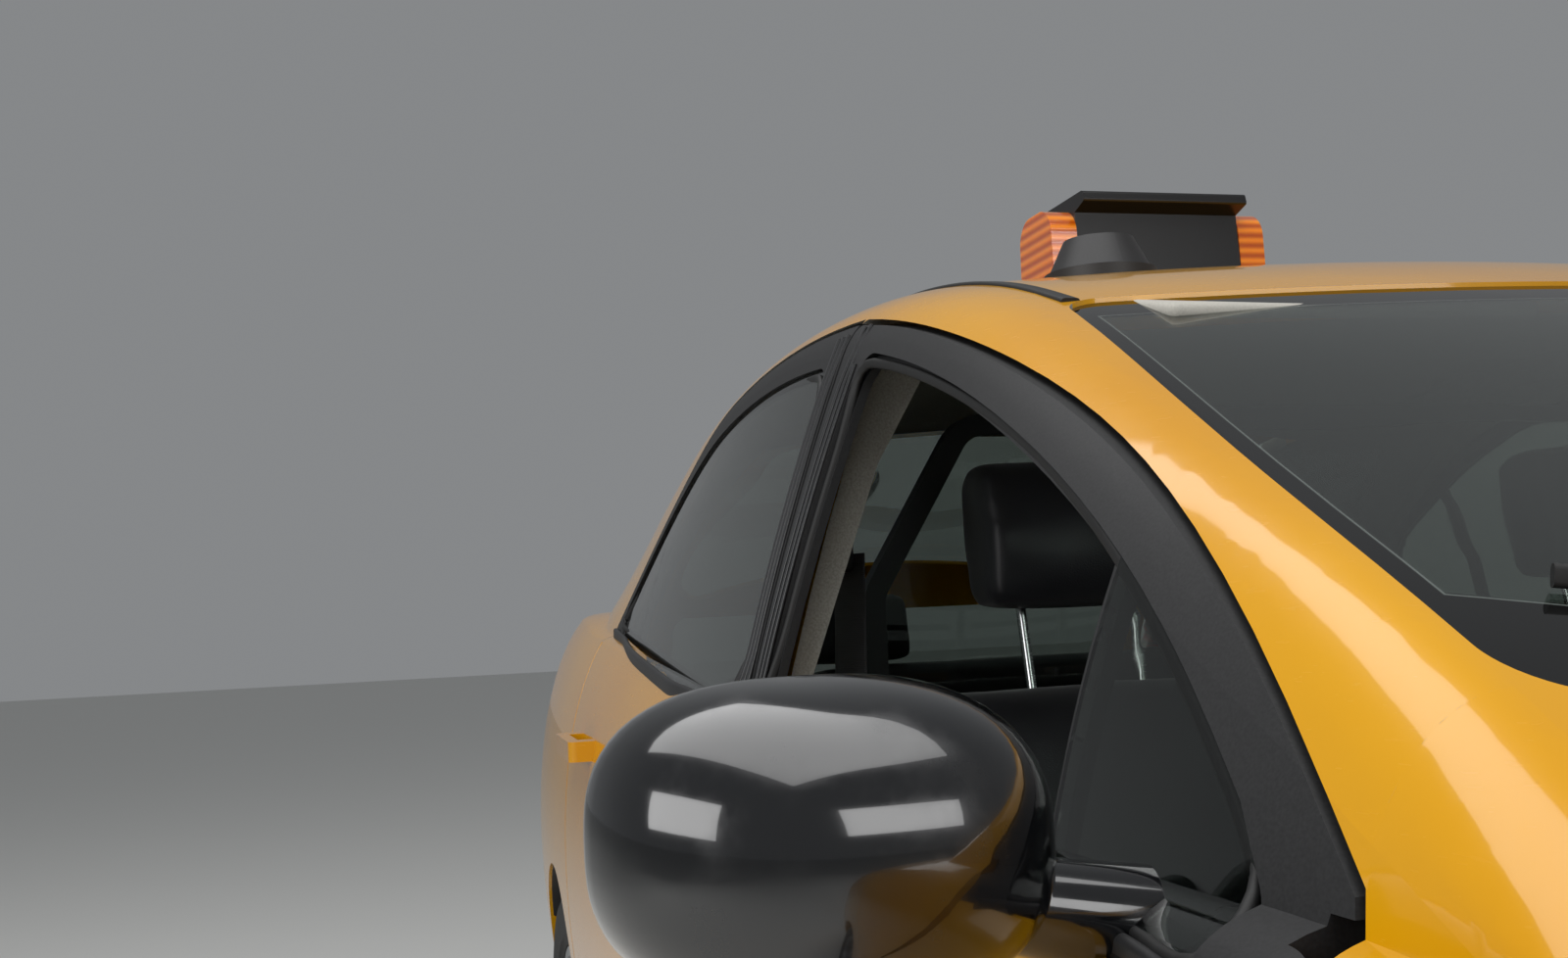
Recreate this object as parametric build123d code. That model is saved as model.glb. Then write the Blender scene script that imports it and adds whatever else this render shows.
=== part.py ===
from build123d import *
import os

# Taxi cab: a five-door hatchback with a roof sign. X runs forward, Y to the car's left, Z up.
# The origin is on the floor, below the middle of the car. A station is a distance behind the
# front axle. The right side is drawn and mirrored to the left.

# Overall layout
WHEELBASE = 2700
FRONT_OVERHANG = 925
REAR_OVERHANG = 835
FRONT_AXLE_X = (WHEELBASE + REAR_OVERHANG - FRONT_OVERHANG) / 2
BODY_REACH_Y = 1100
BODY_REACH_Z = 1700

# Wheels
TYRE_RADIUS = 317
TYRE_WIDTH = 195
TYRE_WALL = 102
WHEEL_Y = 762
RIM_WIDTH = 170
RIM_OFFSET = 40
HUB_FACE_RADIUS = 72
DISC_RADIUS = 132
DISC_THICKNESS = 22
SPOKE_COUNT = 10

# Walls and gaps
GLASS_SET_BACK = 4
GLASS_THICKNESS = 5
PANEL_THICKNESS = 30
LID_THICKNESS = 18
DOOR_GAP = 6
HATCH_GAP = 9
HATCH_FLANGE = 14
SEAT_GAP = 0.3
PILLAR_INNER_Y = 775
APERTURE_MARGIN = 36
GLASS_LAP = 12

# Arches: the lip cut in the skin, the drum that a steered wheel sweeps, and its inner end
FRONT_LIP_RADIUS = 356
REAR_LIP_RADIUS = 350
FRONT_DRUM_RADIUS = 384
FRONT_INNER_DRUM_RADIUS = 344
FRONT_DRUM_Y = 600
FRONT_WELL_Y = 466
REAR_WELL_Y = 620

# Doors
SILL_TOP = 300
DOOR_FRONT_STATION = 431
DOOR_SEAM_STATION = 1437
HINGE_SET_BACK = 38
HINGE_Y = 842
DOOR_INNER_Y = 728
DOOR_INNER_INSET = 42
APERTURE_INSET = 30

# Floor
FLOOR_Z = 196
FLOOR_THICKNESS = 18
FLOOR_Y = 689.7
BELLY_Y = 690
BELLY_TOP = 262
TUNNEL_Y = 128
TUNNEL_TOP = 340
REAR_FLOOR_STATION = 2140
REAR_FLOOR_Z = 430
BOOT_STATION = WHEELBASE - 140
BOOT_FLOOR_Z = 560
BOOT_FLOOR_Y = 560
BACK_PANEL_STATION = WHEELBASE + 655

# Steering
KINGPIN_TOP = (585, 850)
KINGPIN_FOOT = (690, 185)

# Lower body, one row a station:
# station, sill y, z, bulge y, z, crease y, z, roll y, z, shoulder y, z, crown y, z, top z
LOWER_BODY = [
    (-980, 740, 200, 862, 420, 815, 545, 803, 575, 775, 598, 695, 615, 630),
    (-600, 790, 185, 893, 480, 845, 690, 836, 735, 806, 765, 725, 782, 800),
    (-200, 800, 175, 912, 540, 856, 788, 843, 845, 808, 880, 728, 895, 908),
    (300, 808, 170, 918, 570, 860, 842, 846, 908, 812, 945, 735, 968, 985),
    (900, 812, 165, 920, 580, 862, 852, 843, 925, 808, 965, 752, 978, 985),
    (1500, 812, 165, 920, 590, 862, 864, 842, 950, 806, 1003, 755, 1014, 1018),
    (WHEELBASE - 500, 812, 168, 918, 600, 860, 882, 838, 985, 798, 1042, 748, 1052, 1056),
    (WHEELBASE + 100, 805, 180, 910, 620, 848, 905, 820, 1015, 778, 1072, 722, 1085, 1090),
    (WHEELBASE + 500, 790, 195, 890, 640, 824, 925, 797, 1035, 748, 1095, 684, 1110, 1118),
    (WHEELBASE + 900, 765, 215, 850, 640, 792, 935, 767, 1035, 718, 1090, 655, 1104, 1112),
]

# Greenhouse, one row a station: station, base y, z, waist y, z, rail y, z, roof edge y, z, top z
GREENHOUSE = [
    (200, 812, 800, 800, 850, 775, 900, 715, 915, 930),
    (450, 815, 840, 800, 920, 762, 1000, 690, 1058, 1076),
    (700, 816, 865, 785, 1000, 728, 1100, 640, 1172, 1205),
    (950, 816, 880, 775, 1060, 704, 1212, 596, 1288, 1322),
    (1200, 814, 900, 764, 1120, 682, 1310, 570, 1388, 1418),
    (1500, 812, 930, 758, 1160, 672, 1376, 560, 1446, 1474),
    (WHEELBASE - 700, 806, 960, 756, 1175, 676, 1374, 560, 1448, 1480),
    (WHEELBASE - 200, 792, 1000, 748, 1145, 668, 1302, 550, 1400, 1440),
    (WHEELBASE + 300, 765, 1020, 722, 1110, 648, 1205, 538, 1296, 1332),
    (WHEELBASE + 720, 725, 1030, 690, 1072, 626, 1122, 518, 1162, 1190),
]

# Plan outline, one row a height:
# z, nose station, nose corner station, y, side from station, side y, side to station,
# tail corner station, y, tail station
PLAN = [
    (120, -850, -740, 560, -300, 850, 320, 630, 560, 730),
    (330, -905, -790, 600, -230, 880, 360, 700, 590, 800),
    (540, -925, -800, 620, -230, 890, 380, 730, 600, REAR_OVERHANG),
    (700, -870, -740, 610, -230, 890, 380, 710, 600, 812),
    (800, -790, -655, 590, -200, 890, 360, 690, 590, 790),
    (1000, -560, -430, 560, 0, 890, 330, 660, 580, 755),
    (1150, -380, -250, 540, 100, 890, 250, 590, 560, 685),
    (1520, 0, 130, 520, 300, 890, -100, 190, 520, 260),
]


def x_at(station):
    return FRONT_AXLE_X - station


# Geometry helpers


def tangent_meet(start, start_direction, end, end_direction):
    """Point where the tangents at two ends of a curve meet."""
    cross = end_direction[0] * start_direction[1] - start_direction[0] * end_direction[1]
    along = (end_direction[0] * (end[1] - start[1]) - end_direction[1] * (end[0] - start[0])) / cross
    return (start[0] + along * start_direction[0], start[1] + along * start_direction[1])


def section_wire(station, curves, crown):
    """Closed body section: a flat floor, the side's curves on both sides and a crowned top."""
    def at(point, side=1):
        return Vector(x_at(station), side * point[0], point[1])
    floor_corner = curves[0][0]
    top_corner = curves[-1][2]
    edges = [Edge.make_line(at(floor_corner, -1), at(floor_corner))]
    edges += [Edge.make_bezier(at(a), at(b), at(c)) for a, b, c in curves]
    edges += [Edge.make_bezier(at(top_corner), at(crown), at(top_corner, -1))]
    edges += [Edge.make_bezier(at(c, -1), at(b, -1), at(a, -1)) for a, b, c in reversed(curves)]
    return Wire(edges)


def crowned_top(shoulder, edge, top_z, lean):
    """Control points that round a side into a crowned top with no crease."""
    crown = (0, 2 * top_z - edge[1])
    top_direction = (-edge[0], crown[1] - edge[1])
    return tangent_meet(shoulder, lean, edge, top_direction), crown


def lower_section(row, inset):
    station, sill_y, sill_z, bulge_y, bulge_z, crease_y, crease_z = row[:7]
    roll_y, roll_z, shoulder_y, shoulder_z, crown_y, crown_z, top_z = row[7:]
    sill = (sill_y - inset, sill_z + inset)
    bulge = (bulge_y - inset, bulge_z)
    crease = (crease_y - inset, crease_z)
    roll = (roll_y - inset, roll_z - 0.2 * inset)
    shoulder = (shoulder_y - 0.8 * inset, shoulder_z - 0.7 * inset)
    edge = (crown_y - 0.3 * inset, crown_z - inset)
    lean = (shoulder[0] - roll[0], shoulder[1] - roll[1])
    corner, crown = crowned_top(shoulder, edge, top_z - inset, lean)
    curves = [(sill, bulge, crease), (crease, roll, shoulder), (shoulder, corner, edge)]
    return section_wire(station, curves, crown)


def greenhouse_section(row, inset):
    station, base_y, base_z, waist_y, waist_z, rail_y, rail_z, edge_y, edge_z, top_z = row
    base = (base_y - inset, base_z)
    waist = (waist_y - inset, waist_z - 0.2 * inset)
    rail = (rail_y - 0.85 * inset, rail_z - 0.5 * inset)
    edge = (edge_y - 0.35 * inset, edge_z - inset)
    lean = (rail[0] - waist[0], rail[1] - waist[1])
    corner, crown = crowned_top(rail, edge, top_z - inset, lean)
    return section_wire(station, [(base, waist, rail), (rail, corner, edge)], crown)


def plan_section(row, inset):
    z, nose, nose_corner, nose_y, side_from, side_y, side_to, tail_corner, tail_y, tail = row

    def at(station, y):
        return Vector(x_at(station), y, z)
    nose += inset
    nose_corner += inset
    nose_y -= 0.4 * inset
    side_y -= inset
    side_to += WHEELBASE
    tail_corner += WHEELBASE - inset
    tail_y -= 0.4 * inset
    tail += WHEELBASE - inset
    nose_pull = 2 * nose - nose_corner
    tail_pull = 2 * tail - tail_corner
    nose_turn = tangent_meet((nose_corner, nose_y), (nose_corner - nose_pull, nose_y), (side_from, side_y), (1, 0))
    tail_turn = tangent_meet((tail_corner, tail_y), (tail_corner - tail_pull, tail_y), (side_to, side_y), (1, 0))
    return Wire([
        Edge.make_bezier(at(nose_corner, -nose_y), at(nose_pull, 0), at(nose_corner, nose_y)),
        Edge.make_bezier(at(nose_corner, nose_y), at(*nose_turn), at(side_from, side_y)),
        Edge.make_line(at(side_from, side_y), at(side_to, side_y)),
        Edge.make_bezier(at(side_to, side_y), at(*tail_turn), at(tail_corner, tail_y)),
        Edge.make_bezier(at(tail_corner, tail_y), at(tail_pull, 0), at(tail_corner, -tail_y)),
        Edge.make_bezier(at(tail_corner, -tail_y), at(tail_turn[0], -tail_turn[1]), at(side_to, -side_y)),
        Edge.make_line(at(side_to, -side_y), at(side_from, -side_y)),
        Edge.make_bezier(at(side_from, -side_y), at(nose_turn[0], -nose_turn[1]), at(nose_corner, -nose_y)),
    ])


def envelope(inset):
    """The whole body's outer form, or the same form a wall's thickness further in."""
    lower = Solid.make_loft([lower_section(row, inset) for row in LOWER_BODY])
    house = Solid.make_loft([greenhouse_section(row, inset) for row in GREENHOUSE])
    plan = Solid.make_loft([plan_section(row, inset) for row in PLAN])
    return (lower + house) & plan


def outline(points):
    """Face from a closed run of (u, v, corner radius), or (u, v, corner radius, via u, via v)."""
    edges = []
    for before, point in zip(points[-1:] + points[:-1], points):
        start = Vector(before[0], before[1])
        end = Vector(point[0], point[1])
        if len(point) == 3:
            edges.append(Edge.make_line(start, end))
        else:
            edges.append(Edge.make_three_point_arc(start, Vector(point[3], point[4]), end))
    face = Face(Wire(edges))
    for u, v, radius in [point[:3] for point in points]:
        if radius:
            corner = min(face.vertices(), key=lambda vertex: (Vector(*vertex) - Vector(u, v)).length)
            face = face.fillet_2d(radius, [corner])
    return face


def grown(face, amount):
    """The same outline, moved outwards, or inwards if the amount is negative."""
    return offset(face, amount=amount, kind=Kind.INTERSECTION).faces()[0]


def across(face, y_from, y_to):
    """Prism along Y of an outline drawn as (station, z)."""
    plane = Plane(origin=(FRONT_AXLE_X, y_from, 0), x_dir=(-1, 0, 0), z_dir=(0, 1, 0))
    return extrude(plane * face, amount=y_to - y_from, dir=(0, 1, 0))


def upright(face, z_from, z_to):
    """Prism along Z of an outline drawn as (station, y)."""
    plane = Plane(origin=(FRONT_AXLE_X, 0, z_from), x_dir=(-1, 0, 0), z_dir=(0, 0, -1))
    return extrude(plane * face, amount=z_to - z_from, dir=(0, 0, 1))


def lengthwise(face, station_from, station_to):
    """Prism along X of an outline drawn as (y, z)."""
    plane = Plane(origin=(x_at(station_to), 0, 0), x_dir=(0, 1, 0), z_dir=(1, 0, 0))
    return extrude(plane * face, amount=station_to - station_from, dir=(1, 0, 0))


def block(stations, ys, zs):
    """Box between two stations, two widths and two heights."""
    centre = (x_at((stations[0] + stations[1]) / 2), (ys[0] + ys[1]) / 2, (zs[0] + zs[1]) / 2)
    size = (stations[1] - stations[0], ys[1] - ys[0], zs[1] - zs[0])
    return Pos(*centre) * Box(*size)


def rounded_block(stations, ys, zs, radius):
    solid = block(stations, ys, zs)
    return fillet(solid.edges(), radius)


def rod(start, end, radius):
    """Round bar between two points."""
    direction = Vector(*end) - Vector(*start)
    return Solid.make_cylinder(radius, direction.length, Plane(origin=start, z_dir=direction))


def to_left(solid):
    return mirror(solid, Plane.XZ)


def both_sides(solid):
    return [solid, to_left(solid)]


def solids_of(*shapes):
    """All the solids in some shapes, largest first, without slivers under a cubic centimetre."""
    found = []
    for shape in shapes:
        found += shape.solids()
    return sorted([s for s in found if s.volume > 1000], key=lambda s: -s.volume)


nodes = {}


def keep(name, *shapes):
    nodes[name] = Compound(children=solids_of(*shapes))


# Envelopes: the outer form and the same form at each depth that a wall or a glass needs
skin = envelope(0)
glass_outer = envelope(GLASS_SET_BACK)
glass_inner = envelope(GLASS_SET_BACK + GLASS_THICKNESS)
lid_inner = envelope(LID_THICKNESS)
panel_inner = envelope(PANEL_THICKNESS)
shell = skin - panel_inner
lid_shell = skin - lid_inner
glass_sheet = glass_outer - glass_inner

# Outlines of the side panels and windows, as (station, z, corner radius)
BELT_FRONT = 935
BELT_SEAM = 997
BELT_REAR = 1070
REAR_TIP = WHEELBASE - 110
ROOF_ARC_REAR = WHEELBASE - 700

front_door_outline = outline([
    (DOOR_FRONT_STATION, SILL_TOP, 40),
    (DOOR_FRONT_STATION, BELT_FRONT, 30),
    (455, 985, 0),
    (DOOR_SEAM_STATION, 1403, 12, 950, 1262),
    (DOOR_SEAM_STATION, SILL_TOP, 30),
])
rear_door_outline = outline([
    (DOOR_SEAM_STATION, SILL_TOP, 30),
    (DOOR_SEAM_STATION, 1403, 0),
    (ROOF_ARC_REAR, 1392, 0, 1720, 1412),
    (REAR_TIP, BELT_REAR, 25, WHEELBASE - 350, 1268),
    (WHEELBASE - 290, 620, 200),
    (WHEELBASE - 420, 420, 60),
    (WHEELBASE - 425, SILL_TOP, 40),
])
front_window_outline = outline([
    (505, BELT_FRONT + 12, 12),
    (560, 1000, 0),
    (1360, 1346, 26, 940, 1213),
    (1383, BELT_SEAM - 6, 14),
])
rear_window_outline = outline([
    (1492, BELT_SEAM + 4, 14),
    (1492, 1352, 24),
    (ROOF_ARC_REAR, 1342, 0, 1720, 1362),
    (REAR_TIP - 70, BELT_REAR + 16, 16, WHEELBASE - 380, 1236),
])
FRONT_DIVIDER = (700, 800)
REAR_DIVIDER = (WHEELBASE - 420, WHEELBASE - 420)
DIVIDER_WIDTH = 24


def divider(stations, window):
    """Upright bar of a window frame, from a bottom station to a top station."""
    bottom, top = stations
    bar = outline([
        (bottom - DIVIDER_WIDTH / 2, 850, 0),
        (top - DIVIDER_WIDTH / 2, 1420, 0),
        (top + DIVIDER_WIDTH / 2, 1420, 0),
        (bottom + DIVIDER_WIDTH / 2, 850, 0),
    ])
    return (bar & window).faces()[0]


# Wheel wells: an outer drum that clears a steered tyre, an inner drum and the lip in the skin


def drum(station, radius, y_outer, y_inner):
    """Round block along Y at wheel height on the right side."""
    return rod((x_at(station), -y_outer, TYRE_RADIUS), (x_at(station), -y_inner, TYRE_RADIUS), radius)


LIP_Y = 800
front_well = (
    drum(0, FRONT_LIP_RADIUS, BODY_REACH_Y, LIP_Y)
    + drum(0, FRONT_DRUM_RADIUS, LIP_Y, FRONT_DRUM_Y)
    + drum(0, FRONT_INNER_DRUM_RADIUS, FRONT_DRUM_Y, FRONT_WELL_Y)
)
rear_well = drum(WHEELBASE, REAR_LIP_RADIUS, BODY_REACH_Y, REAR_WELL_Y)

# Door hinges: an upright axis a little behind each door's front edge, inside its skin
front_hinge_station = DOOR_FRONT_STATION + HINGE_SET_BACK
rear_hinge_station = DOOR_SEAM_STATION + HINGE_SET_BACK
HINGE_SWEEP = 48
HINGE_CLEARANCE = 7


def hinge_cylinder(station, radius):
    """Space that a door's front edge sweeps round its hinge."""
    return rod((x_at(station), -HINGE_Y, SILL_TOP - 20), (x_at(station), -HINGE_Y, BELT_FRONT + 70), radius)


def side(face, margin=0, y_inner=0):
    """Right-side prism of an outline, grown by a margin."""
    return across(grown(face, margin) if margin else face, -BODY_REACH_Y, -y_inner)


# Doors
HANDLE_LENGTH = 196
HANDLE_HEIGHT = 30
HANDLE_STAND_OFF = 44
HANDLE_BAR = 18
GRIP_LENGTH = 120

belt_and_above = outline([
    (DOOR_FRONT_STATION - 100, BELT_FRONT - 40, 0),
    (REAR_TIP + 100, BELT_REAR - 40, 0),
    (REAR_TIP + 100, BODY_REACH_Z, 0),
    (DOOR_FRONT_STATION - 100, BODY_REACH_Z, 0),
])


def pull_handle(station, z, skin_y):
    """Bar handle that stands off the skin on two feet, with room for fingers behind it."""
    ys = (-skin_y - HANDLE_STAND_OFF, -skin_y + 12)
    half = HANDLE_LENGTH / 2
    bar = block((station - half, station + half), ys, (z - HANDLE_HEIGHT / 2, z + HANDLE_HEIGHT / 2))
    bar = fillet(bar.edges().filter_by(Axis.Z), 12)
    grip_ys = (ys[0] + HANDLE_BAR, ys[1] + 20)
    grip = block((station - GRIP_LENGTH / 2, station + GRIP_LENGTH / 2), grip_ys, (z - 40, z + 40))
    return bar - grip


def window_panes(window, divider_bar):
    return (window - divider_bar).faces() if divider_bar else [window]


def door(face, window, divider_bar, hinge_station, handle):
    """Outer slab with its window frame, an inner box below the belt, and a pull handle."""
    slab = lid_shell & side(face, -DOOR_GAP / 2, 400)
    inner = lid_inner & across(grown(face, -DOOR_INNER_INSET), -BODY_REACH_Y, -DOOR_INNER_Y)
    inner = inner - side(belt_and_above)
    body = slab + inner
    body = body - (side(grown(window, GLASS_LAP), 0, 400) - glass_inner)
    for pane in window_panes(window, divider_bar):
        body = body - across(pane, -BODY_REACH_Y, -400)
    ahead_of_hinge = block((0, hinge_station), (-BODY_REACH_Y, -600), (0, BELT_FRONT + 40))
    body = body - (ahead_of_hinge - hinge_cylinder(hinge_station, HINGE_SWEEP))
    frame_flange = block((0, hinge_station), (-BODY_REACH_Y, -400), (BELT_FRONT + 40, BODY_REACH_Z))
    body = body - (frame_flange & glass_inner)
    return body + handle


def door_glass(window):
    return glass_sheet & side(grown(window, GLASS_LAP), 0, 400)


front_divider = divider(FRONT_DIVIDER, front_window_outline)
rear_divider = divider(REAR_DIVIDER, rear_window_outline)
front_door = door(front_door_outline, front_window_outline, front_divider, front_hinge_station,
                  pull_handle(1310, 868, 852))
rear_door = door(rear_door_outline, rear_window_outline, rear_divider, rear_hinge_station,
                 pull_handle(WHEELBASE - 390, 906, 848))
hinge_space = hinge_cylinder(front_hinge_station, HINGE_SWEEP + HINGE_CLEARANCE)
rear_hinge_space = hinge_cylinder(rear_hinge_station, HINGE_SWEEP + HINGE_CLEARANCE)
front_door = front_door - rear_hinge_space
quarter_pane = min(window_panes(front_window_outline, front_divider), key=lambda pane: pane.area)
keep("door_front_right", front_door)
keep("door_front_left", to_left(front_door))
keep("door_rear_right", rear_door)
keep("door_rear_left", to_left(rear_door))
front_glass = door_glass(front_window_outline)
rear_glass = door_glass(rear_window_outline)
keep("glass_front_right", front_glass & side(grown(quarter_pane, GLASS_LAP), 0, 400))
keep("glass_front_left", to_left(front_glass))
keep("glass_rear_right", rear_glass)
keep("glass_rear_left", to_left(rear_glass))

# Door mirrors, each on a short arm at the front of a window's belt
MIRROR_STATION = 600
MIRROR_Y = 946
MIRROR_Z = 1001
MIRROR_SIZE = (118, 218, 150)


def door_mirror():
    """Rounded housing with a pane set into its rear face, on an arm from the belt."""
    depth, width, height = MIRROR_SIZE
    sections = []
    for share, shrink in ((0, 0.0), (0.45, 0.06), (0.8, 0.22), (1.0, 0.5)):
        face = RectangleRounded(width * (1 - shrink), height * (1 - shrink), 62 * (1 - shrink))
        x = x_at(MIRROR_STATION + depth / 2) + share * depth
        sections.append(Plane(origin=(x, -MIRROR_Y + 20 * share, MIRROR_Z), x_dir=(0, 1, 0), z_dir=(1, 0, 0)) * face)
    housing = loft(sections)
    pane_seat = RectangleRounded(width - 24, height - 24, 52)
    pane_plane = Plane(origin=(x_at(MIRROR_STATION + depth / 2), -MIRROR_Y, MIRROR_Z), x_dir=(0, 1, 0), z_dir=(1, 0, 0))
    housing = housing - extrude(pane_plane * pane_seat, amount=8, dir=(1, 0, 0))
    arm = rod((x_at(MIRROR_STATION), -790, 950), (x_at(MIRROR_STATION), -MIRROR_Y + 50, MIRROR_Z - 30), 22)
    return (housing + arm) - skin


mirror_right = door_mirror()
keep("mirror_right", mirror_right)
keep("mirror_left", to_left(mirror_right))

# Outlines of the panels on top, as (station, y, corner radius)
HOOD_REAR_STATION = 288
HOOD_REAR_CENTRE = 198
SCREEN_FOOT_STATION = 468
SCREEN_FOOT_CENTRE = 285
HEADER_STATION = 1108
HEADER_CENTRE = 1052
ROOF_EDGE_Y = 548
HATCH_STATION = WHEELBASE - 213

hood_outline = outline([
    (-655, -560, 30),
    (-655, 560, 30, -752, 0),
    (-520, 636, 80),
    (230, 684, 0),
    (HOOD_REAR_STATION, 655, 20),
    (HOOD_REAR_STATION, -655, 20, HOOD_REAR_CENTRE, 0),
    (230, -684, 0),
    (-520, -636, 80),
])
screen_outline = outline([
    (SCREEN_FOOT_STATION, -672, 30),
    (SCREEN_FOOT_STATION, 672, 30, SCREEN_FOOT_CENTRE, 0),
    (HEADER_STATION, 562, 30),
    (HEADER_STATION, -562, 30, HEADER_CENTRE, 0),
])
roof_outline = outline([
    (HEADER_STATION - 90, -ROOF_EDGE_Y - 20, 0),
    (HATCH_STATION + 30, -ROOF_EDGE_Y, 0),
    (HATCH_STATION + 30, ROOF_EDGE_Y, 0),
    (HEADER_STATION - 90, ROOF_EDGE_Y + 20, 0),
])
hatch_outline = outline([
    (-598, 655, 25),
    (-612, 760, 0),
    (-636, 1040, 60),
    (-580, 1200, 0),
    (-530, 1340, 60),
    (-512, 1700, 0),
    (512, 1700, 0),
    (530, 1340, 60),
    (580, 1200, 0),
    (636, 1040, 60),
    (612, 760, 0),
    (598, 655, 25),
])
UPPER_Z = (880, BODY_REACH_Z)
TOP_Z = (1150, BODY_REACH_Z)

# Outlines of the end panels and lamps, as (station, z, corner radius)
front_bumper_outline = outline([
    (-1100, 100, 0),
    (-180, 100, 0),
    (-300, 500, 0),
    (-470, 622, 30),
    (-700, 655, 0),
    (-1100, 690, 0),
])
headlamp_outline = outline([
    (-1100, 690, 0),
    (-700, 655, 0),
    (-470, 622, 20),
    (-330, 752, 12),
    (-560, 770, 0),
    (-1100, 800, 0),
])
rear_bumper_outline = outline([
    (WHEELBASE + 200, 100, 0),
    (WHEELBASE + 1100, 100, 0),
    (WHEELBASE + 1100, 650, 0),
    (WHEELBASE + 560, 650, 30),
    (WHEELBASE + 270, 520, 0),
])
tail_lamp_outline = outline([
    (560, 700, 0),
    (860, 760, 30),
    (860, 900, 0),
    (740, 1070, 40),
    (560, 1080, 0),
])
LAMP_INNER_Y = 430

# Skin panels: the shell with the openings for everything that moves, then parted where panels meet
hatch_region = lengthwise(hatch_outline, HATCH_STATION, WHEELBASE + 1100)
hatch_clearance = lengthwise(grown(hatch_outline, HATCH_GAP), HATCH_STATION - DOOR_GAP, WHEELBASE + 1100)
hatch_core = lengthwise(grown(hatch_outline, -HATCH_FLANGE), HATCH_STATION, WHEELBASE + 1100)
screen_opening = upright(screen_outline, *UPPER_Z)
screen_seat = upright(grown(screen_outline, GLASS_LAP), *UPPER_Z) - glass_inner

static_shell = shell
for face in (front_door_outline, rear_door_outline):
    opening = side(face, DOOR_GAP / 2, 400)
    static_shell = static_shell - opening - to_left(opening)
static_shell = static_shell - hinge_space - to_left(hinge_space)
static_shell = static_shell - upright(grown(hood_outline, DOOR_GAP), 600, BODY_REACH_Z)
static_shell = static_shell - hatch_clearance
static_shell = static_shell - screen_seat - screen_opening
static_shell = static_shell - front_well - to_left(front_well) - rear_well - to_left(rear_well)
belly = block((-760, WHEELBASE + 620), (-BELLY_Y, BELLY_Y), (0, BELLY_TOP))
static_shell = static_shell - belly

front_bumper_region = across(front_bumper_outline, -BODY_REACH_Y, BODY_REACH_Y)
headlamp_region = across(headlamp_outline, -BODY_REACH_Y, BODY_REACH_Y)
rear_bumper_region = across(rear_bumper_outline, -BODY_REACH_Y, BODY_REACH_Y)
tail_lamp_right = lengthwise(tail_lamp_outline, WHEELBASE + 520, WHEELBASE + 1100)
roof_region = upright(roof_outline, *TOP_Z)
cowl_region = block((100, SCREEN_FOOT_STATION + 20), (-664, 664), UPPER_Z)
fender_region = block((-1100, DOOR_FRONT_STATION + 26), (-BODY_REACH_Y, BODY_REACH_Y), (0, BODY_REACH_Z))

roof = static_shell & roof_region
keep("roof_panel", roof)
rest = static_shell - roof_region
cowl = rest & cowl_region
keep("cowl_panel", cowl)
rest = rest - cowl_region
bumper = rest & front_bumper_region
rest = rest - front_bumper_region
inboard = block((-1200, 0), (-LAMP_INNER_Y, LAMP_INNER_Y), (0, 1000))
headlamps = (rest & headlamp_region) - inboard
nose = (rest & headlamp_region) & inboard
rest = rest - headlamp_region
rear_bumper = rest & rear_bumper_region
rest = rest - rear_bumper_region
tail_lamps = rest & tail_lamp_right
tail_lamps = [tail_lamps, to_left(tail_lamps)]
rest = rest - tail_lamp_right - to_left(tail_lamp_right)
fenders = rest & fender_region
sides = rest - fender_region
TOW_RADIUS = 8.5
TOW_WALL = 7
TOW_Z = 400
TOW_FRONT = (-900, -770)
TOW_REAR = (WHEELBASE + 680, WHEELBASE + 820)
GRILLE_HALF_WIDTH = 400
GRILLE_Z = (312, 456)


def tow_socket(panel, stations, y):
    """A bumper with a tube through it that takes a screwed-in towing eye."""
    ends = [(x_at(station), y, TOW_Z) for station in stations]
    return (panel + (skin & rod(*ends, TOW_RADIUS + TOW_WALL))) - rod(*ends, TOW_RADIUS)


grille_opening = lengthwise(outline([
    (-GRILLE_HALF_WIDTH, GRILLE_Z[0], 20),
    (-GRILLE_HALF_WIDTH - 30, GRILLE_Z[1], 30),
    (GRILLE_HALF_WIDTH + 30, GRILLE_Z[1], 30),
    (GRILLE_HALF_WIDTH, GRILLE_Z[0], 20),
]), -1100, -780)
keep("front_bumper", tow_socket((bumper + nose) - grille_opening, TOW_FRONT, -480))
keep("headlamps", headlamps)
keep("rear_bumper", tow_socket(rear_bumper, TOW_REAR, -400))
keep("tail_lamps", *tail_lamps)
keep("front_fenders", fenders)

# Body sides: the outer panel with the sill, the pillars and the door apertures behind it
pillar_section = outline([
    (-BODY_REACH_Y, 150, 0),
    (-PILLAR_INNER_Y, 150, 0),
    (-PILLAR_INNER_Y, 930, 0),
    (-740, 1010, 0),
    (-650, 1250, 0),
    (-566, 1390, 0),
    (-510, 1440, 0),
    (-BODY_REACH_Y, 1440, 0),
])
pillar_depth = lengthwise(pillar_section, DOOR_FRONT_STATION - 4, WHEELBASE + 200)
pillar_form = side(front_door_outline, APERTURE_MARGIN, 400) + side(rear_door_outline, APERTURE_MARGIN, 400)
pillar_form = pillar_form & pillar_depth
for face in (front_door_outline, rear_door_outline):
    pillar_form = pillar_form - side(face, -APERTURE_INSET, 300)
pillar_form = pillar_form - hinge_space - rear_hinge_space - rear_well
side_half = block((-2000, 5000), (-BODY_REACH_Y, 0), (0, BODY_REACH_Z))
side_right = (sides & side_half) - rear_hinge_space + (panel_inner & pillar_form)
keep("body_side_right", side_right)
keep("body_side_left", to_left(side_right))

# Glass of the windscreen
keep("windscreen", glass_sheet & upright(grown(screen_outline, GLASS_LAP - 1), *UPPER_Z))

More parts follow.
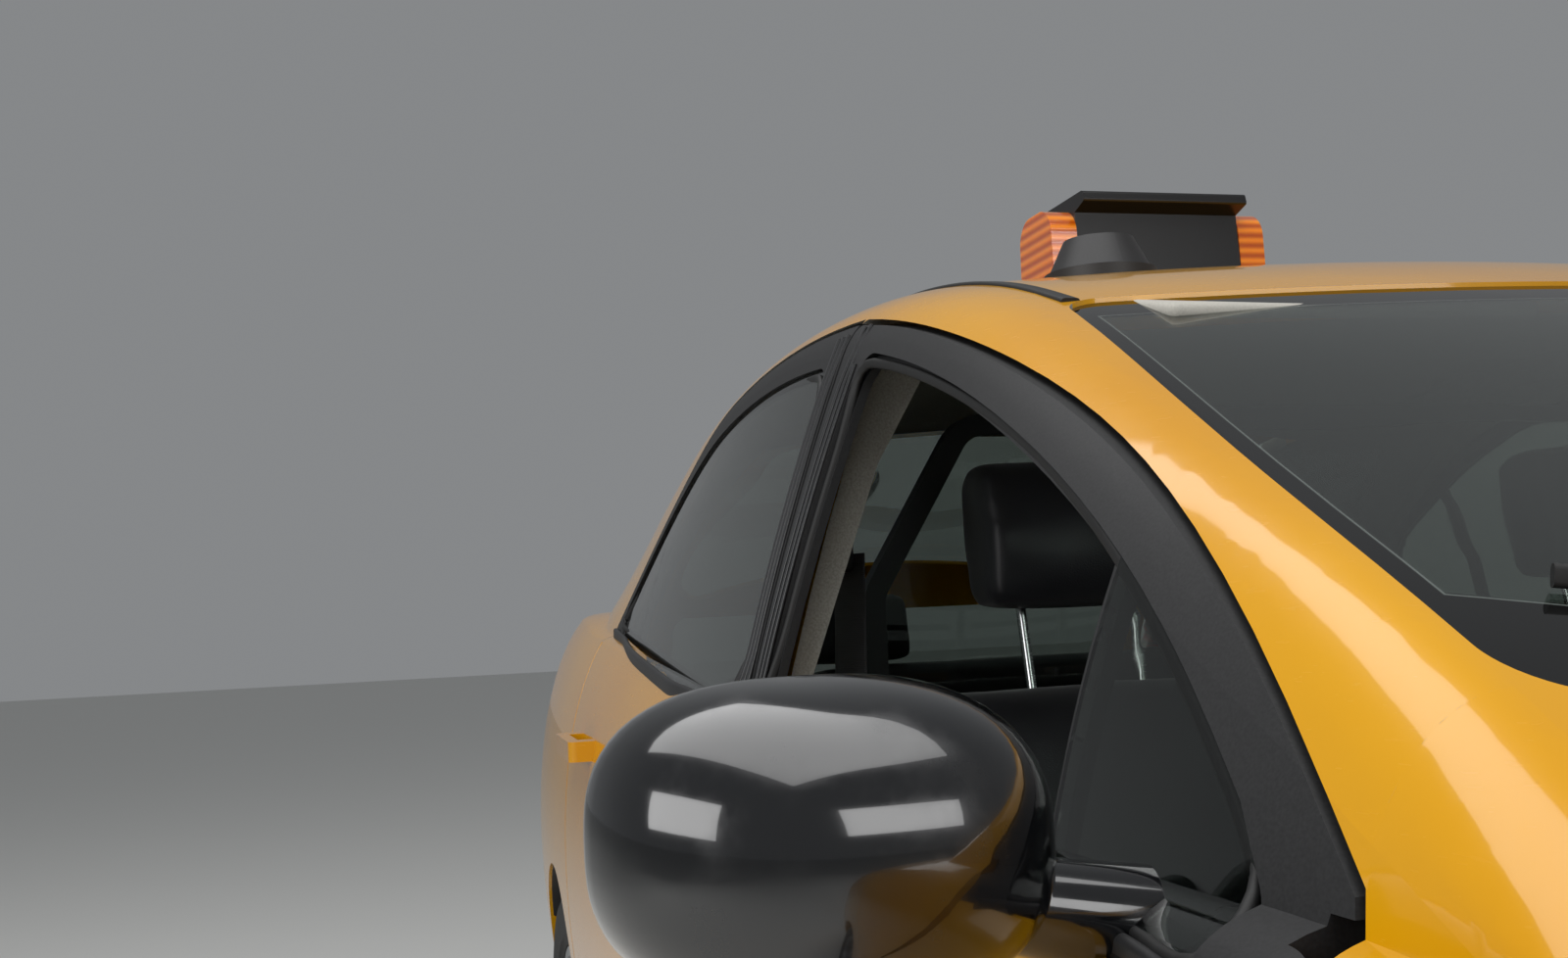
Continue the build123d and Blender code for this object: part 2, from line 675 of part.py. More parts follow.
# Hood and tailgate
hood = lid_shell & upright(hood_outline, 600, BODY_REACH_Z)
keep("hood", hood)

hatch_glass_outline = outline([
    (HATCH_STATION + 70, -455, 40),
    (HATCH_STATION + 70, 455, 40),
    (WHEELBASE + 620, 520, 60),
    (WHEELBASE + 620, -520, 60),
])
hatch_lower_glass_outline = outline([
    (-520, 900, 40),
    (520, 900, 40),
    (545, 1090, 40),
    (-545, 1090, 40),
])
hatch = lid_shell & hatch_region
hatch = hatch - (glass_inner & (hatch_region - hatch_core))
upper_glass_region = upright(grown(hatch_glass_outline, GLASS_LAP), 1000, BODY_REACH_Z)
lower_glass_region = lengthwise(grown(hatch_lower_glass_outline, GLASS_LAP), WHEELBASE + 550, WHEELBASE + 1100)
hatch_glass = [(glass_sheet & upper_glass_region), (glass_sheet & lower_glass_region)]
hatch = hatch - (upper_glass_region - glass_inner) - (lower_glass_region - glass_inner)
hatch = hatch - upright(hatch_glass_outline, 1000, BODY_REACH_Z)
hatch = hatch - lengthwise(hatch_lower_glass_outline, WHEELBASE + 550, WHEELBASE + 1100)
keep("tailgate", hatch)
keep("tailgate_glass", *hatch_glass)

# Floor: front floor with its tunnel, rear floor, boot floor, toe board and back panel
TOE_STATION = 452
TOE_CENTRE = 296


def floor_panels():
    top = FLOOR_Z + FLOOR_THICKNESS
    front_face = outline([
        (TOE_STATION, -FLOOR_Y, 0),
        (TOE_STATION, FLOOR_Y, 0, TOE_CENTRE, 0),
        (REAR_FLOOR_STATION, FLOOR_Y, 0),
        (REAR_FLOOR_STATION, -FLOOR_Y, 0),
    ])
    front = upright(front_face, FLOOR_Z, top)
    tunnel_end = REAR_FLOOR_STATION + FLOOR_THICKNESS
    tunnel_inner_y = TUNNEL_Y - FLOOR_THICKNESS
    tunnel = block((TOE_CENTRE + 6, tunnel_end), (-TUNNEL_Y, TUNNEL_Y), (FLOOR_Z, TUNNEL_TOP))
    tunnel_space = block((0, tunnel_end + 20), (-tunnel_inner_y, tunnel_inner_y), (0, TUNNEL_TOP - FLOOR_THICKNESS))
    riser = block((REAR_FLOOR_STATION, tunnel_end), (-FLOOR_Y, FLOOR_Y), (FLOOR_Z, REAR_FLOOR_Z))
    rear_zs = (REAR_FLOOR_Z - FLOOR_THICKNESS, REAR_FLOOR_Z)
    rear = block((REAR_FLOOR_STATION, BOOT_STATION), (-610, 610), rear_zs)
    step = block((BOOT_STATION, BOOT_STATION + FLOOR_THICKNESS), (-610, 610), (rear_zs[0], BOOT_FLOOR_Z))
    boot_zs = (BOOT_FLOOR_Z - FLOOR_THICKNESS, BOOT_FLOOR_Z)
    boot = block((BOOT_STATION, BACK_PANEL_STATION), (-BOOT_FLOOR_Y, BOOT_FLOOR_Y), boot_zs)
    back_stations = (BACK_PANEL_STATION - FLOOR_THICKNESS, BACK_PANEL_STATION)
    back = block(back_stations, (-BOOT_FLOOR_Y, BOOT_FLOOR_Y), (330, 640))
    toe_face = outline([
        (TOE_STATION, -FLOOR_Y, 0),
        (TOE_STATION, FLOOR_Y, 0, TOE_CENTRE, 0),
        (TOE_STATION + FLOOR_THICKNESS, FLOOR_Y, 0),
        (TOE_STATION + FLOOR_THICKNESS, -FLOOR_Y, 0, TOE_CENTRE + FLOOR_THICKNESS, 0),
    ])
    toe_board = upright(toe_face, FLOOR_Z, 930)
    return (front + tunnel + riser + rear + step + boot + back + toe_board) - tunnel_space


keep("floor_pan", floor_panels())

# Front structure: two rails, the strut towers on their aprons and a cross beam behind the bumper
RAIL_Y = (400, 458)
RAIL_Z = (380, 480)
TOWER_STATION = 0
TOWER_TOP = 858
beam = rounded_block((-800, -740), (-500, 500), (420, 520), 12)
structure = [beam]
for sign in (-1, 1):
    ys = sorted((sign * RAIL_Y[0], sign * RAIL_Y[1]))
    rail = block((-740, 330), ys, RAIL_Z)
    apron_ys = sorted((sign * (RAIL_Y[1] - 14), sign * RAIL_Y[1]))
    apron = block((-420, 290), apron_ys, (RAIL_Z[0], 780))
    tower = Pos(x_at(TOWER_STATION), sign * 575, (700 + TOWER_TOP) / 2) * Box(250, 250, TOWER_TOP - 700)
    tower_space = Pos(x_at(TOWER_STATION), sign * 583, 760) * Cylinder(88, 160)
    strut_hole = Pos(x_at(TOWER_STATION), sign * KINGPIN_TOP[0], TOWER_TOP) * Cylinder(30, 60)
    structure.append(rail + apron + (tower - tower_space - strut_hole))
keep("front_structure", *structure)

# Engine: one block between the front rails, with a drive shaft to each front wheel
ENGINE_HALF_WIDTH = 330
keep("engine_block", rounded_block((-420, 90), (-ENGINE_HALF_WIDTH, ENGINE_HALF_WIDTH), (250, 760), 24))
shaft_inner = (x_at(0), -ENGINE_HALF_WIDTH - SEAT_GAP, TYRE_RADIUS)
drive_shaft = rod(shaft_inner, (x_at(0), -612, TYRE_RADIUS), 13)
drive_shaft += rod(shaft_inner, (x_at(0), -400, TYRE_RADIUS), 40)
keep("drive_shafts", *both_sides(drive_shaft))

# Front suspension: a crossmember with the steering rack, two lower arms, and a knuckle each side
crossmember = rounded_block((150, 270), (-400, 400), (196, 246), 10)
rack = rod((x_at(146), -330, 262), (x_at(146), 330, 262), 22)
arms = []
for sign in (-1, 1):
    arm_face = outline([
        (-40, sign * 700, 20),
        (40, sign * 700, 20),
        (52, sign * 590, 20),
        (250, sign * 400, 30),
        (150, sign * 380, 20),
        (-10, sign * 560, 60),
        (-120, sign * 400, 20),
        (-170, sign * 430, 20),
        (-50, sign * 590, 20),
    ])
    arms.append(upright(arm_face, 158, 175.6))
mount_posts = [block((160, 240), sorted((sign * 392, sign * 420)), (170, 250)) for sign in (-1, 1)]
keep("front_subframe", crossmember + rack, *[arm + post for arm, post in zip(arms, mount_posts)])


HUB_FACE_Y = 744
STRUT_FOOT = (616, 440)
STRUT_HEAD = (587, 832)


def knuckle():
    """Hub carrier with its strut, spring, steering arm and brake caliper, on the right."""
    axle = x_at(0)
    carrier = rod((axle, -636, TYRE_RADIUS), (axle, -711, TYRE_RADIUS), 48)
    flange = rod((axle, -706, TYRE_RADIUS), (axle, -HUB_FACE_Y + DISC_THICKNESS + SEAT_GAP, TYRE_RADIUS), HUB_FACE_RADIUS)
    upright_leg = rod((axle, -672, TYRE_RADIUS), (axle, -KINGPIN_FOOT[0], KINGPIN_FOOT[1] - 6), 20)
    clamp = block((-30, 30), (-668, -584), (TYRE_RADIUS + 24, STRUT_FOOT[1] + 30))
    strut = rod((axle, -STRUT_FOOT[0], STRUT_FOOT[1]), (axle, -STRUT_HEAD[0], STRUT_HEAD[1]), 25)
    spring = rod((axle, -597, 655), (axle, -STRUT_HEAD[0], STRUT_HEAD[1] - 6), 56)
    steering_arm = rod((axle, -660, 300), (x_at(130), -620, 268), 14)
    caliper = Pos(x_at(120), -733, TYRE_RADIUS) * Box(64, 74, 110)
    caliper = fillet(caliper.edges(), 8) - rod((axle, -716, TYRE_RADIUS), (axle, -750, TYRE_RADIUS), DISC_RADIUS + 4)
    bracket = rod((x_at(0), -690, TYRE_RADIUS), (x_at(112), -702, TYRE_RADIUS), 18)
    return carrier.fuse(flange, upright_leg, clamp, strut, spring, steering_arm, bracket, caliper)


right_knuckle = knuckle()
keep("knuckle_right", right_knuckle)
keep("knuckle_left", to_left(right_knuckle))

# Rear axle: a torsion beam on two trailing arms, with hubs, springs and dampers
def rear_axle():
    axle_x = x_at(WHEELBASE)
    beam_x = x_at(WHEELBASE - 190)
    parts = [rod((beam_x, -560, 300), (beam_x, 560, 300), 34)]
    for sign in (-1, 1):
        arm = rod((x_at(WHEELBASE - 420), sign * 560, 300), (axle_x, sign * 590, TYRE_RADIUS), 28)
        pivot = rod((x_at(WHEELBASE - 420), sign * 525, 300), (x_at(WHEELBASE - 420), sign * 600, 300), 40)
        spindle_end = HUB_FACE_Y - DISC_THICKNESS - SEAT_GAP
        hub = rod((axle_x, sign * 580, TYRE_RADIUS), (axle_x, sign * spindle_end, TYRE_RADIUS), 46)
        damper = rod((x_at(WHEELBASE + 60), sign * 575, 300), (x_at(WHEELBASE + 90), sign * 560, 534), 24)
        spring = rod((x_at(WHEELBASE - 56), sign * 510, 300), (x_at(WHEELBASE - 56), sign * 510, 541.6), 52)
        parts += [arm, pivot, hub, damper, spring]
    return parts[0].fuse(*parts[1:])


keep("rear_axle", rear_axle())

# Exhaust: a pipe in the tunnel and a silencer under the boot floor
EXHAUST_RADIUS = 22
exhaust_points = [
    (x_at(290), 0, 235),
    (x_at(2160), 0, 235),
    (x_at(2360), -90, 373),
    (x_at(WHEELBASE - 90), -200, 373),
    (x_at(WHEELBASE + 200), -330, 385),
]
pipes = [rod(start, end, EXHAUST_RADIUS) for start, end in zip(exhaust_points, exhaust_points[1:])]
pipes += [Pos(*point) * Sphere(EXHAUST_RADIUS) for point in exhaust_points[1:-1]]
silencer = rounded_block((WHEELBASE + 170, WHEELBASE + 600), (-500, -180), (300, 470), 50)
tail_pipe = rod((x_at(WHEELBASE + 560), -420, 330), (x_at(WHEELBASE + 610), -430, 268), EXHAUST_RADIUS)
keep("exhaust", silencer.fuse(tail_pipe, *pipes))

# Fuel tank under the rear seat
keep("fuel_tank", rounded_block((REAR_FLOOR_STATION + 30, BOOT_STATION - 110), (90, 500), (200, REAR_FLOOR_Z - 18.3), 40))

# Road wheels
def wheel():
    """Pressed rim with slots round its face and the brake disc on its mounting pad, on the right."""
    profile = Polyline([
        (203, -85), (203, -79), (191, -74), (191, 74), (203, 79), (203, 85),
        (186, 85), (181, 70), (181, 44), (110, 48), (72, 36), (36, 36), (36, -18), (72, -18),
        (76, 20), (110, 32), (176, 30), (181, 20), (181, -78), (186, -85), (203, -85),
    ])
    face = make_face(profile)
    rim = revolve(Plane(origin=(0, 0, 0), x_dir=(1, 0, 0), z_dir=(0, 0, 1)) * face, Axis.Y)
    window = outline([(92, -13, 8), (166, -34, 16), (166, 34, 16), (92, 13, 8)])
    slot = extrude(Plane(origin=(0, 0, 0), x_dir=(1, 0, 0), z_dir=(0, 1, 0)) * window, amount=90, dir=(0, 1, 0))
    for index in range(SPOKE_COUNT):
        rim = rim - Rot(0, index * 360 / SPOKE_COUNT, 0) * slot
    disc = rod((0, -18 - DISC_THICKNESS, 0), (0, -18, 0), DISC_RADIUS) - rod((0, -60, 0), (0, 0, 0), 40)
    return rim + disc


def tyre():
    """Tyre with rounded shoulders and side walls, open at its beads."""
    half = TYRE_WIDTH / 2
    edges = [
        Edge.make_line((191.4, -73.4), (191.4, 73.4)),
        Edge.make_line((191.4, 73.4), (203.5, 78.2)),
        Edge.make_line((203.5, 78.2), (203.5, 86)),
        Edge.make_three_point_arc((203.5, 86), (252, half), (298, 86)),
        Edge.make_three_point_arc((298, 86), (312, 76), (TYRE_RADIUS, 58)),
        Edge.make_line((TYRE_RADIUS, 58), (TYRE_RADIUS, -58)),
        Edge.make_three_point_arc((TYRE_RADIUS, -58), (312, -76), (298, -86)),
        Edge.make_three_point_arc((298, -86), (252, -half), (203.5, -86)),
        Edge.make_line((203.5, -86), (203.5, -78.2)),
        Edge.make_line((203.5, -78.2), (191.4, -73.4)),
    ]
    return revolve(Face(Wire(edges)), Axis.Y)


rim_solid = wheel()
tyre_solid = tyre()
rim_right = mirror(rim_solid, Plane.XZ)
for end, station in (("front", 0), ("rear", WHEELBASE)):
    for hand, sign, rim in (("left", 1, rim_solid), ("right", -1, rim_right)):
        place = Pos(x_at(station), sign * WHEEL_Y, TYRE_RADIUS)
        keep(f"wheel_{end}_{hand}", place * rim)
        keep(f"tyre_{end}_{hand}", place * tyre_solid)

# Seats
SEAT_Y = 370
SEAT_HALF_WIDTH = 240


def front_seat(centre_y):
    """Cushion, back and head restraint on a rail box."""
    ys = (centre_y - SEAT_HALF_WIDTH, centre_y + SEAT_HALF_WIDTH)
    cushion = across(outline([
        (900, 330, 30), (900, 450, 60), (1380, 424, 40), (1400, 330, 30),
    ]), *ys)
    back = across(outline([
        (1370, 380, 50), (1330, 520, 60), (1470, 1010, 50), (1590, 1010, 40), (1490, 380, 40),
    ]), ys[0] + 10, ys[1] - 10)
    rest = across(outline([
        (1486, 1085, 26), (1516, 1270, 30), (1616, 1270, 40), (1598, 1085, 26),
    ]), centre_y - 130, centre_y + 130)
    posts = [rod((x_at(1532), centre_y + dy, 1000), (x_at(1556), centre_y + dy, 1100), 7) for dy in (-70, 70)]
    rails = block((960, 1380), (ys[0] + 60, ys[1] - 60), (FLOOR_Z + FLOOR_THICKNESS, 340))
    return cushion + back + rest + posts[0] + posts[1] + rails


keep("front_seats", front_seat(-SEAT_Y), front_seat(SEAT_Y))
bench_cushion = across(outline([
    (1900, 345, 30), (1890, 470, 50), (2400, 456, 0), (2400, REAR_FLOOR_Z + SEAT_GAP, 0),
    (2138, REAR_FLOOR_Z + SEAT_GAP, 0), (2130, 345, 0),
]), -640, 640)
bench_back = across(outline([
    (2360, REAR_FLOOR_Z + SEAT_GAP, 20), (2320, 520, 30), (2490, 1010, 30), (2580, 1010, 30), (2520, REAR_FLOOR_Z + SEAT_GAP, 20),
]), -600, 600)
bench_rests = [across(outline([
    (2490, 1000, 0), (2520, 1130, 20), (2590, 1130, 20), (2580, 1000, 0),
]), centre - 125, centre + 125) for centre in (-360, 360)]
keep("rear_bench", bench_cushion + bench_back + bench_rests[0] + bench_rests[1])

# Dashboard with its cowl, console and steering column
dash_face = outline([
    (490, 560, 20), (490, 900, 30), (560, 945, 20), (700, 930, 30), (760, 860, 20), (720, 700, 40), (640, 560, 30),
])
dash = across(dash_face, -690, 690)
console = across(outline([
    (600, TUNNEL_TOP + 1, 0), (640, 640, 30), (760, 600, 40), (860, 430, 40), (1380, 430, 30), (1380, TUNNEL_TOP + 1, 0),
]), -105, 105)
COLUMN_START = (600, SEAT_Y, 790)
WHEEL_CENTRE = (905, SEAT_Y, 905)
column = rod((x_at(COLUMN_START[0]), SEAT_Y, COLUMN_START[2]), (x_at(870), SEAT_Y, 891.8), 32)
keep("dashboard", dash + console + column)


def steering_wheel():
    """Rim, three spokes and a hub, square to the column."""
    direction = Vector(x_at(WHEEL_CENTRE[0]) - x_at(870), 0, WHEEL_CENTRE[2] - 891.8)
    plane = Plane(origin=(x_at(WHEEL_CENTRE[0]), SEAT_Y, WHEEL_CENTRE[2]), x_dir=(0, 1, 0), z_dir=direction)
    rim = Solid.make_torus(182, 15)
    hub = Pos(0, 0, -8) * Cylinder(62, 34)
    spokes = [Rot(0, 0, angle) * Pos(110, 0, -4) * Box(130, 34, 14) for angle in (0, 180, 270)]
    return plane * (rim + hub + spokes[0] + spokes[1] + spokes[2])


keep("steering_wheel", steering_wheel())

# Partition behind the front seats: a frame that holds a clear pane
frame_face = outline([(-600, 700, 30), (-600, 1120, 60), (-470, 1330, 60), (470, 1330, 60), (600, 1120, 60), (600, 700, 30)])
PARTITION_STATION = 1640
partition_frame = lengthwise(frame_face, PARTITION_STATION, PARTITION_STATION + 24)
partition_frame = partition_frame - lengthwise(grown(frame_face, -26), PARTITION_STATION - 5, PARTITION_STATION + 40)
partition_posts = [
    block((PARTITION_STATION, PARTITION_STATION + 24), (y - 18, y + 18), (FLOOR_Z + FLOOR_THICKNESS, 710))
    for y in (-570, 570)
]
keep("partition_frame", partition_frame + partition_posts[0] + partition_posts[1])
pane = lengthwise(grown(frame_face, -26.3), PARTITION_STATION + 8, PARTITION_STATION + 14)
keep("partition_pane", pane)

# Roof sign, its end lamps and the antenna puck
SIGN_STATIONS = (1950, 2120)
SIGN_HALF_WIDTH = 135
SIGN_LAMP_WIDTH = 42
ROOF_Z = 1480
sign_face = outline([
    (SIGN_STATIONS[0] + 18, ROOF_Z + 12, 10),
    (SIGN_STATIONS[0] + 30, ROOF_Z + 196, 0),
    (SIGN_STATIONS[0] - 4, ROOF_Z + 206, 4),
    (SIGN_STATIONS[0], ROOF_Z + 222, 6),
    (SIGN_STATIONS[1] - 30, ROOF_Z + 222, 20),
    (SIGN_STATIONS[1] - 18, ROOF_Z + 12, 10),
])
sign = across(sign_face, -SIGN_HALF_WIDTH, SIGN_HALF_WIDTH)
sign_base = rounded_block((SIGN_STATIONS[0] - 20, SIGN_STATIONS[1] + 20), (-185, 185), (ROOF_Z - 24, ROOF_Z + 14), 8) - skin
keep("roof_sign", sign + sign_base)
lamp_face = outline([
    (SIGN_STATIONS[0] + 22, ROOF_Z + 14.3, 10),
    (SIGN_STATIONS[0] + 26, ROOF_Z + 204, 40),
    (SIGN_STATIONS[1] - 30, ROOF_Z + 204, 40),
    (SIGN_STATIONS[1] - 22, ROOF_Z + 14.3, 10),
])
lamps = [across(lamp_face, *ys) for ys in (
    (-SIGN_HALF_WIDTH - SIGN_LAMP_WIDTH, -SIGN_HALF_WIDTH - SEAT_GAP),
    (SIGN_HALF_WIDTH + SEAT_GAP, SIGN_HALF_WIDTH + SIGN_LAMP_WIDTH),
)]
keep("sign_lamps", *lamps)
PUCK_STATION = 1500
PUCK_Y = -340
PUCK_Z = 1462
puck = Solid.make_cone(64, 40, 49, Plane(origin=(x_at(PUCK_STATION), PUCK_Y, PUCK_Z), z_dir=(0, 0, 1)))
puck_skirt = Solid.make_cylinder(64, 30, Plane(origin=(x_at(PUCK_STATION), PUCK_Y, PUCK_Z - 20), z_dir=(0, 0, 1)))
keep("antenna_puck", (puck + puck_skirt) - skin)

# Grille: level bars on two uprights in the bumper's lower opening
GRILLE_BARS = 5
bar_pitch = (GRILLE_Z[1] - GRILLE_Z[0]) / GRILLE_BARS
grille_bars = [
    block((-884, -862), (-GRILLE_HALF_WIDTH + 6, GRILLE_HALF_WIDTH - 6), (z, z + 10))
    for z in [GRILLE_Z[0] + bar_pitch * (index + 0.5) - 5 for index in range(GRILLE_BARS)]
]
grille_uprights = [block((-866, -846), (y - 8, y + 8), (GRILLE_Z[0] + 2, GRILLE_Z[1] - 2)) for y in (-200, 200)]
keep("grille", grille_bars[0].fuse(*grille_bars[1:], *grille_uprights))

# Number plates, blank
PLATE_PROUD = 9
tail_station = WHEELBASE + REAR_OVERHANG
front_plate = block((-FRONT_OVERHANG - PLATE_PROUD, -FRONT_OVERHANG - 2.6), (-152, 152), (465, 617))
rear_plate = block((tail_station + 0.9, tail_station + PLATE_PROUD), (-152, 152), (465, 617))
keep("number_plates", front_plate, rear_plate)

os.makedirs("parts", exist_ok=True)
for name, compound in nodes.items():
    export_step(compound, f"parts/{name}.step")
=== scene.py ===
import math
import bpy
from mathutils import Matrix, Vector


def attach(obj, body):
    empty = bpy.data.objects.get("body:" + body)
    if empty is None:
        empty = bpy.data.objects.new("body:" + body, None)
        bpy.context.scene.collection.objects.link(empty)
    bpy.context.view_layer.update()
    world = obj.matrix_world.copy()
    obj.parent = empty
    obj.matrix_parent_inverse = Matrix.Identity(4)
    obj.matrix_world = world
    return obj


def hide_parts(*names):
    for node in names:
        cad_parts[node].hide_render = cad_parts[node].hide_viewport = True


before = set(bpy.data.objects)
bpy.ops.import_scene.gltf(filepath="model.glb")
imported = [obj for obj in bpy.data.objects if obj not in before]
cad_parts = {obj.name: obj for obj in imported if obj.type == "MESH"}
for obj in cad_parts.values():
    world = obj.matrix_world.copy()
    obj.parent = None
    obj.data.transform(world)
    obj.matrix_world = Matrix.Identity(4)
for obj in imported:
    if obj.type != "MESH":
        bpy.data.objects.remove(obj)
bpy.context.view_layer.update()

# Painted body: pressed steel panels in taxi yellow under a clear coat, with orange peel, street dust low
# down and a few swirl marks. The same paint covers the sides, fenders, hood, roof, bumpers and tailgate.
# Behind the skin the panels are lined: pale trim on the pillars and roof, dark carpet and vinyl lower down.
FRONT_AXLE_X = 1.305
CLEAR_COAT = 0.85


def linear(code):
    """Scene colour of an sRGB hex code."""
    channels = [int(code[i:i + 2], 16) / 255 for i in (0, 2, 4)]
    return tuple(c / 12.92 if c <= 0.04045 else ((c + 0.055) / 1.055) ** 2.4 for c in channels) + (1.0,)


def material_of(name, **constants):
    """A new material whose shader sockets hold the given values."""
    material = bpy.data.materials.new(name)
    material.use_nodes = True
    surface = material.node_tree.nodes["Principled BSDF"]
    for socket, value in constants.items():
        surface.inputs[socket.replace("_", " ")].default_value = value
    return material


def add(material, kind, inputs, **settings):
    """A shader node with its inputs set to values or linked to other nodes' outputs."""
    node = material.node_tree.nodes.new("ShaderNode" + kind)
    for name, value in settings.items():
        setattr(node, name, value)
    for key, value in inputs.items():
        if isinstance(value, bpy.types.NodeSocket):
            material.node_tree.links.new(value, node.inputs[key])
        else:
            node.inputs[key].default_value = value
    return node


def feed(material, socket, output):
    """Links an output to a socket of the material's shader."""
    surface = material.node_tree.nodes["Principled BSDF"]
    material.node_tree.links.new(output, surface.inputs[socket])


def place(material):
    """The object's own coordinates."""
    return add(material, "TexCoord", {}).outputs["Object"]


def axes(material):
    """The object's own X, Y and Z."""
    return add(material, "SeparateXYZ", {"Vector": place(material)}).outputs


def noise(material, scale, detail=2.0, roughness=0.5, stretch=None):
    """Grey noise on the object's own coordinates, stretched by a factor on each axis."""
    vector = place(material)
    if stretch:
        vector = add(material, "Mapping", {"Vector": vector, "Scale": stretch}).outputs[0]
    return add(material, "TexNoise", {"Vector": vector, "Scale": scale, "Detail": detail,
                                      "Roughness": roughness}).outputs["Fac"]


def ramp(material, value, low, high, to_low=0.0, to_high=1.0):
    """A value carried from one range to another and held at its ends."""
    return add(material, "MapRange", {"Value": value, "From Min": low, "From Max": high,
                                      "To Min": to_low, "To Max": to_high}).outputs[0]


def math_of(material, operation, first, second=0.0):
    """A sum, product or comparison of one or two values."""
    return add(material, "Math", {0: first, 1: second}, operation=operation).outputs[0]


def blend_colour(material, share, first, second):
    """A colour between two, by a share from 0 to 1."""
    mix = add(material, "Mix", {0: share, 6: first, 7: second}, data_type="RGBA")
    return mix.outputs[2]


def bumped(material, height, strength, distance=0.001):
    """Fine relief from a height value."""
    bump = add(material, "Bump", {"Height": height, "Strength": strength, "Distance": distance})
    feed(material, "Normal", bump.outputs[0])


def facing_of(material):
    """The face's true normal, by axis."""
    geometry = add(material, "NewGeometry", {})
    return add(material, "SeparateXYZ", {"Vector": geometry.outputs["True Normal"]}).outputs


def outer_side(material):
    """1 on faces that look away from the middle plane, 0 on those that look into the cabin."""
    normal = facing_of(material)
    facing = math_of(material, "MULTIPLY", normal["Y"], axes(material)["Y"])
    return math_of(material, "GREATER_THAN", facing, -0.25)


def outer_panel(material):
    """As outer_side, but above the belt the level faces that look fore and aft are cabin trim too."""
    normal = facing_of(material)
    xyz = axes(material)
    facing = math_of(material, "MULTIPLY", normal["Y"], xyz["Y"])
    outside = math_of(material, "GREATER_THAN", facing, ramp(material, xyz["Z"], 0.95, 0.97, -0.25, 0.12))
    return math_of(material, "MAXIMUM", outside, math_of(material, "GREATER_THAN", normal["Z"], 0.2))


def outer_top(material):
    """1 on faces that don't look down."""
    normal = facing_of(material)
    return math_of(material, "GREATER_THAN", normal["Z"], -0.45)


def yellow_coat(material):
    """Paint colour and roughness: slow colour drift, dust below the crease, faint swirl marks."""
    drift = ramp(material, noise(material, 1.7, 3.0), 0.35, 0.65)
    colour = blend_colour(material, drift, linear("D99C00"), linear("D09000"))
    height = axes(material)["Z"]
    low = ramp(material, height, 0.62, 0.16)
    specks = ramp(material, noise(material, 34.0, 6.0, 0.7), 0.46, 0.68)
    dust = math_of(material, "MULTIPLY", low, math_of(material, "MULTIPLY", specks, 0.6))
    colour = blend_colour(material, dust, colour, linear("6E6250"))
    swirl = ramp(material, noise(material, 60.0, 2.0, 0.5, (1, 1, 7)), 0.55, 0.8, 0.0, 0.06)
    rough = math_of(material, "ADD", ramp(material, dust, 0.0, 0.5, 0.24, 0.72), swirl)
    return colour, rough


def painted(name, inside=None, mask=None, lining="1C1C1D"):
    """Yellow paint, with a matte lining where the mask is 0."""
    material = material_of(name, Coat_Weight=CLEAR_COAT, Coat_Roughness=0.06, Coat_IOR=1.45,
                           Specular_IOR_Level=0.2)
    colour, rough = yellow_coat(material)
    if mask:
        outside = mask(material)
        grain = ramp(material, noise(material, 420.0, 2.0), 0.3, 0.7)
        cloth = blend_colour(material, grain, linear(lining), linear(inside))
        colour = blend_colour(material, outside, cloth, colour)
        rough = math_of(material, "MULTIPLY", rough, outside)
        rough = math_of(material, "ADD", rough, ramp(material, outside, 1.0, 0.0, 0.0, 0.85))
        coat = math_of(material, "MULTIPLY", outside, CLEAR_COAT)
        feed(material, "Coat Weight", coat)
    feed(material, "Base Color", colour)
    feed(material, "Roughness", rough)
    bumped(material, noise(material, 260.0, 2.0), 0.03, 0.0004)
    return material


def dress(material, *names):
    """Gives CAD nodes a finish."""
    for name in names:
        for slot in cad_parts[name].material_slots:
            slot.material = material


body_paint = painted("taxi_yellow_clear_coat")
side_paint = painted("taxi_yellow_on_sides_with_pale_pillar_trim", "A9A79F", outer_panel, "8F8D86")
roof_paint = painted("taxi_yellow_on_roof_with_grey_headliner", "B5B2A9", outer_top, "9D9A92")
dress(body_paint, "hood", "front_fenders", "front_bumper", "rear_bumper", "tailgate")
dress(side_paint, "body_side_left", "body_side_right")
dress(roof_paint, "roof_panel")

# Doors: yellow skins below the belt, matte black window frames above it, and dark grained vinyl on the
# cabin side. The frames are painted pressed steel; the belt line climbs towards the tail.
BELTS = {"front": (0.505, 0.935, 0.0501), "rear": (1.492, 0.989, 0.0827)}


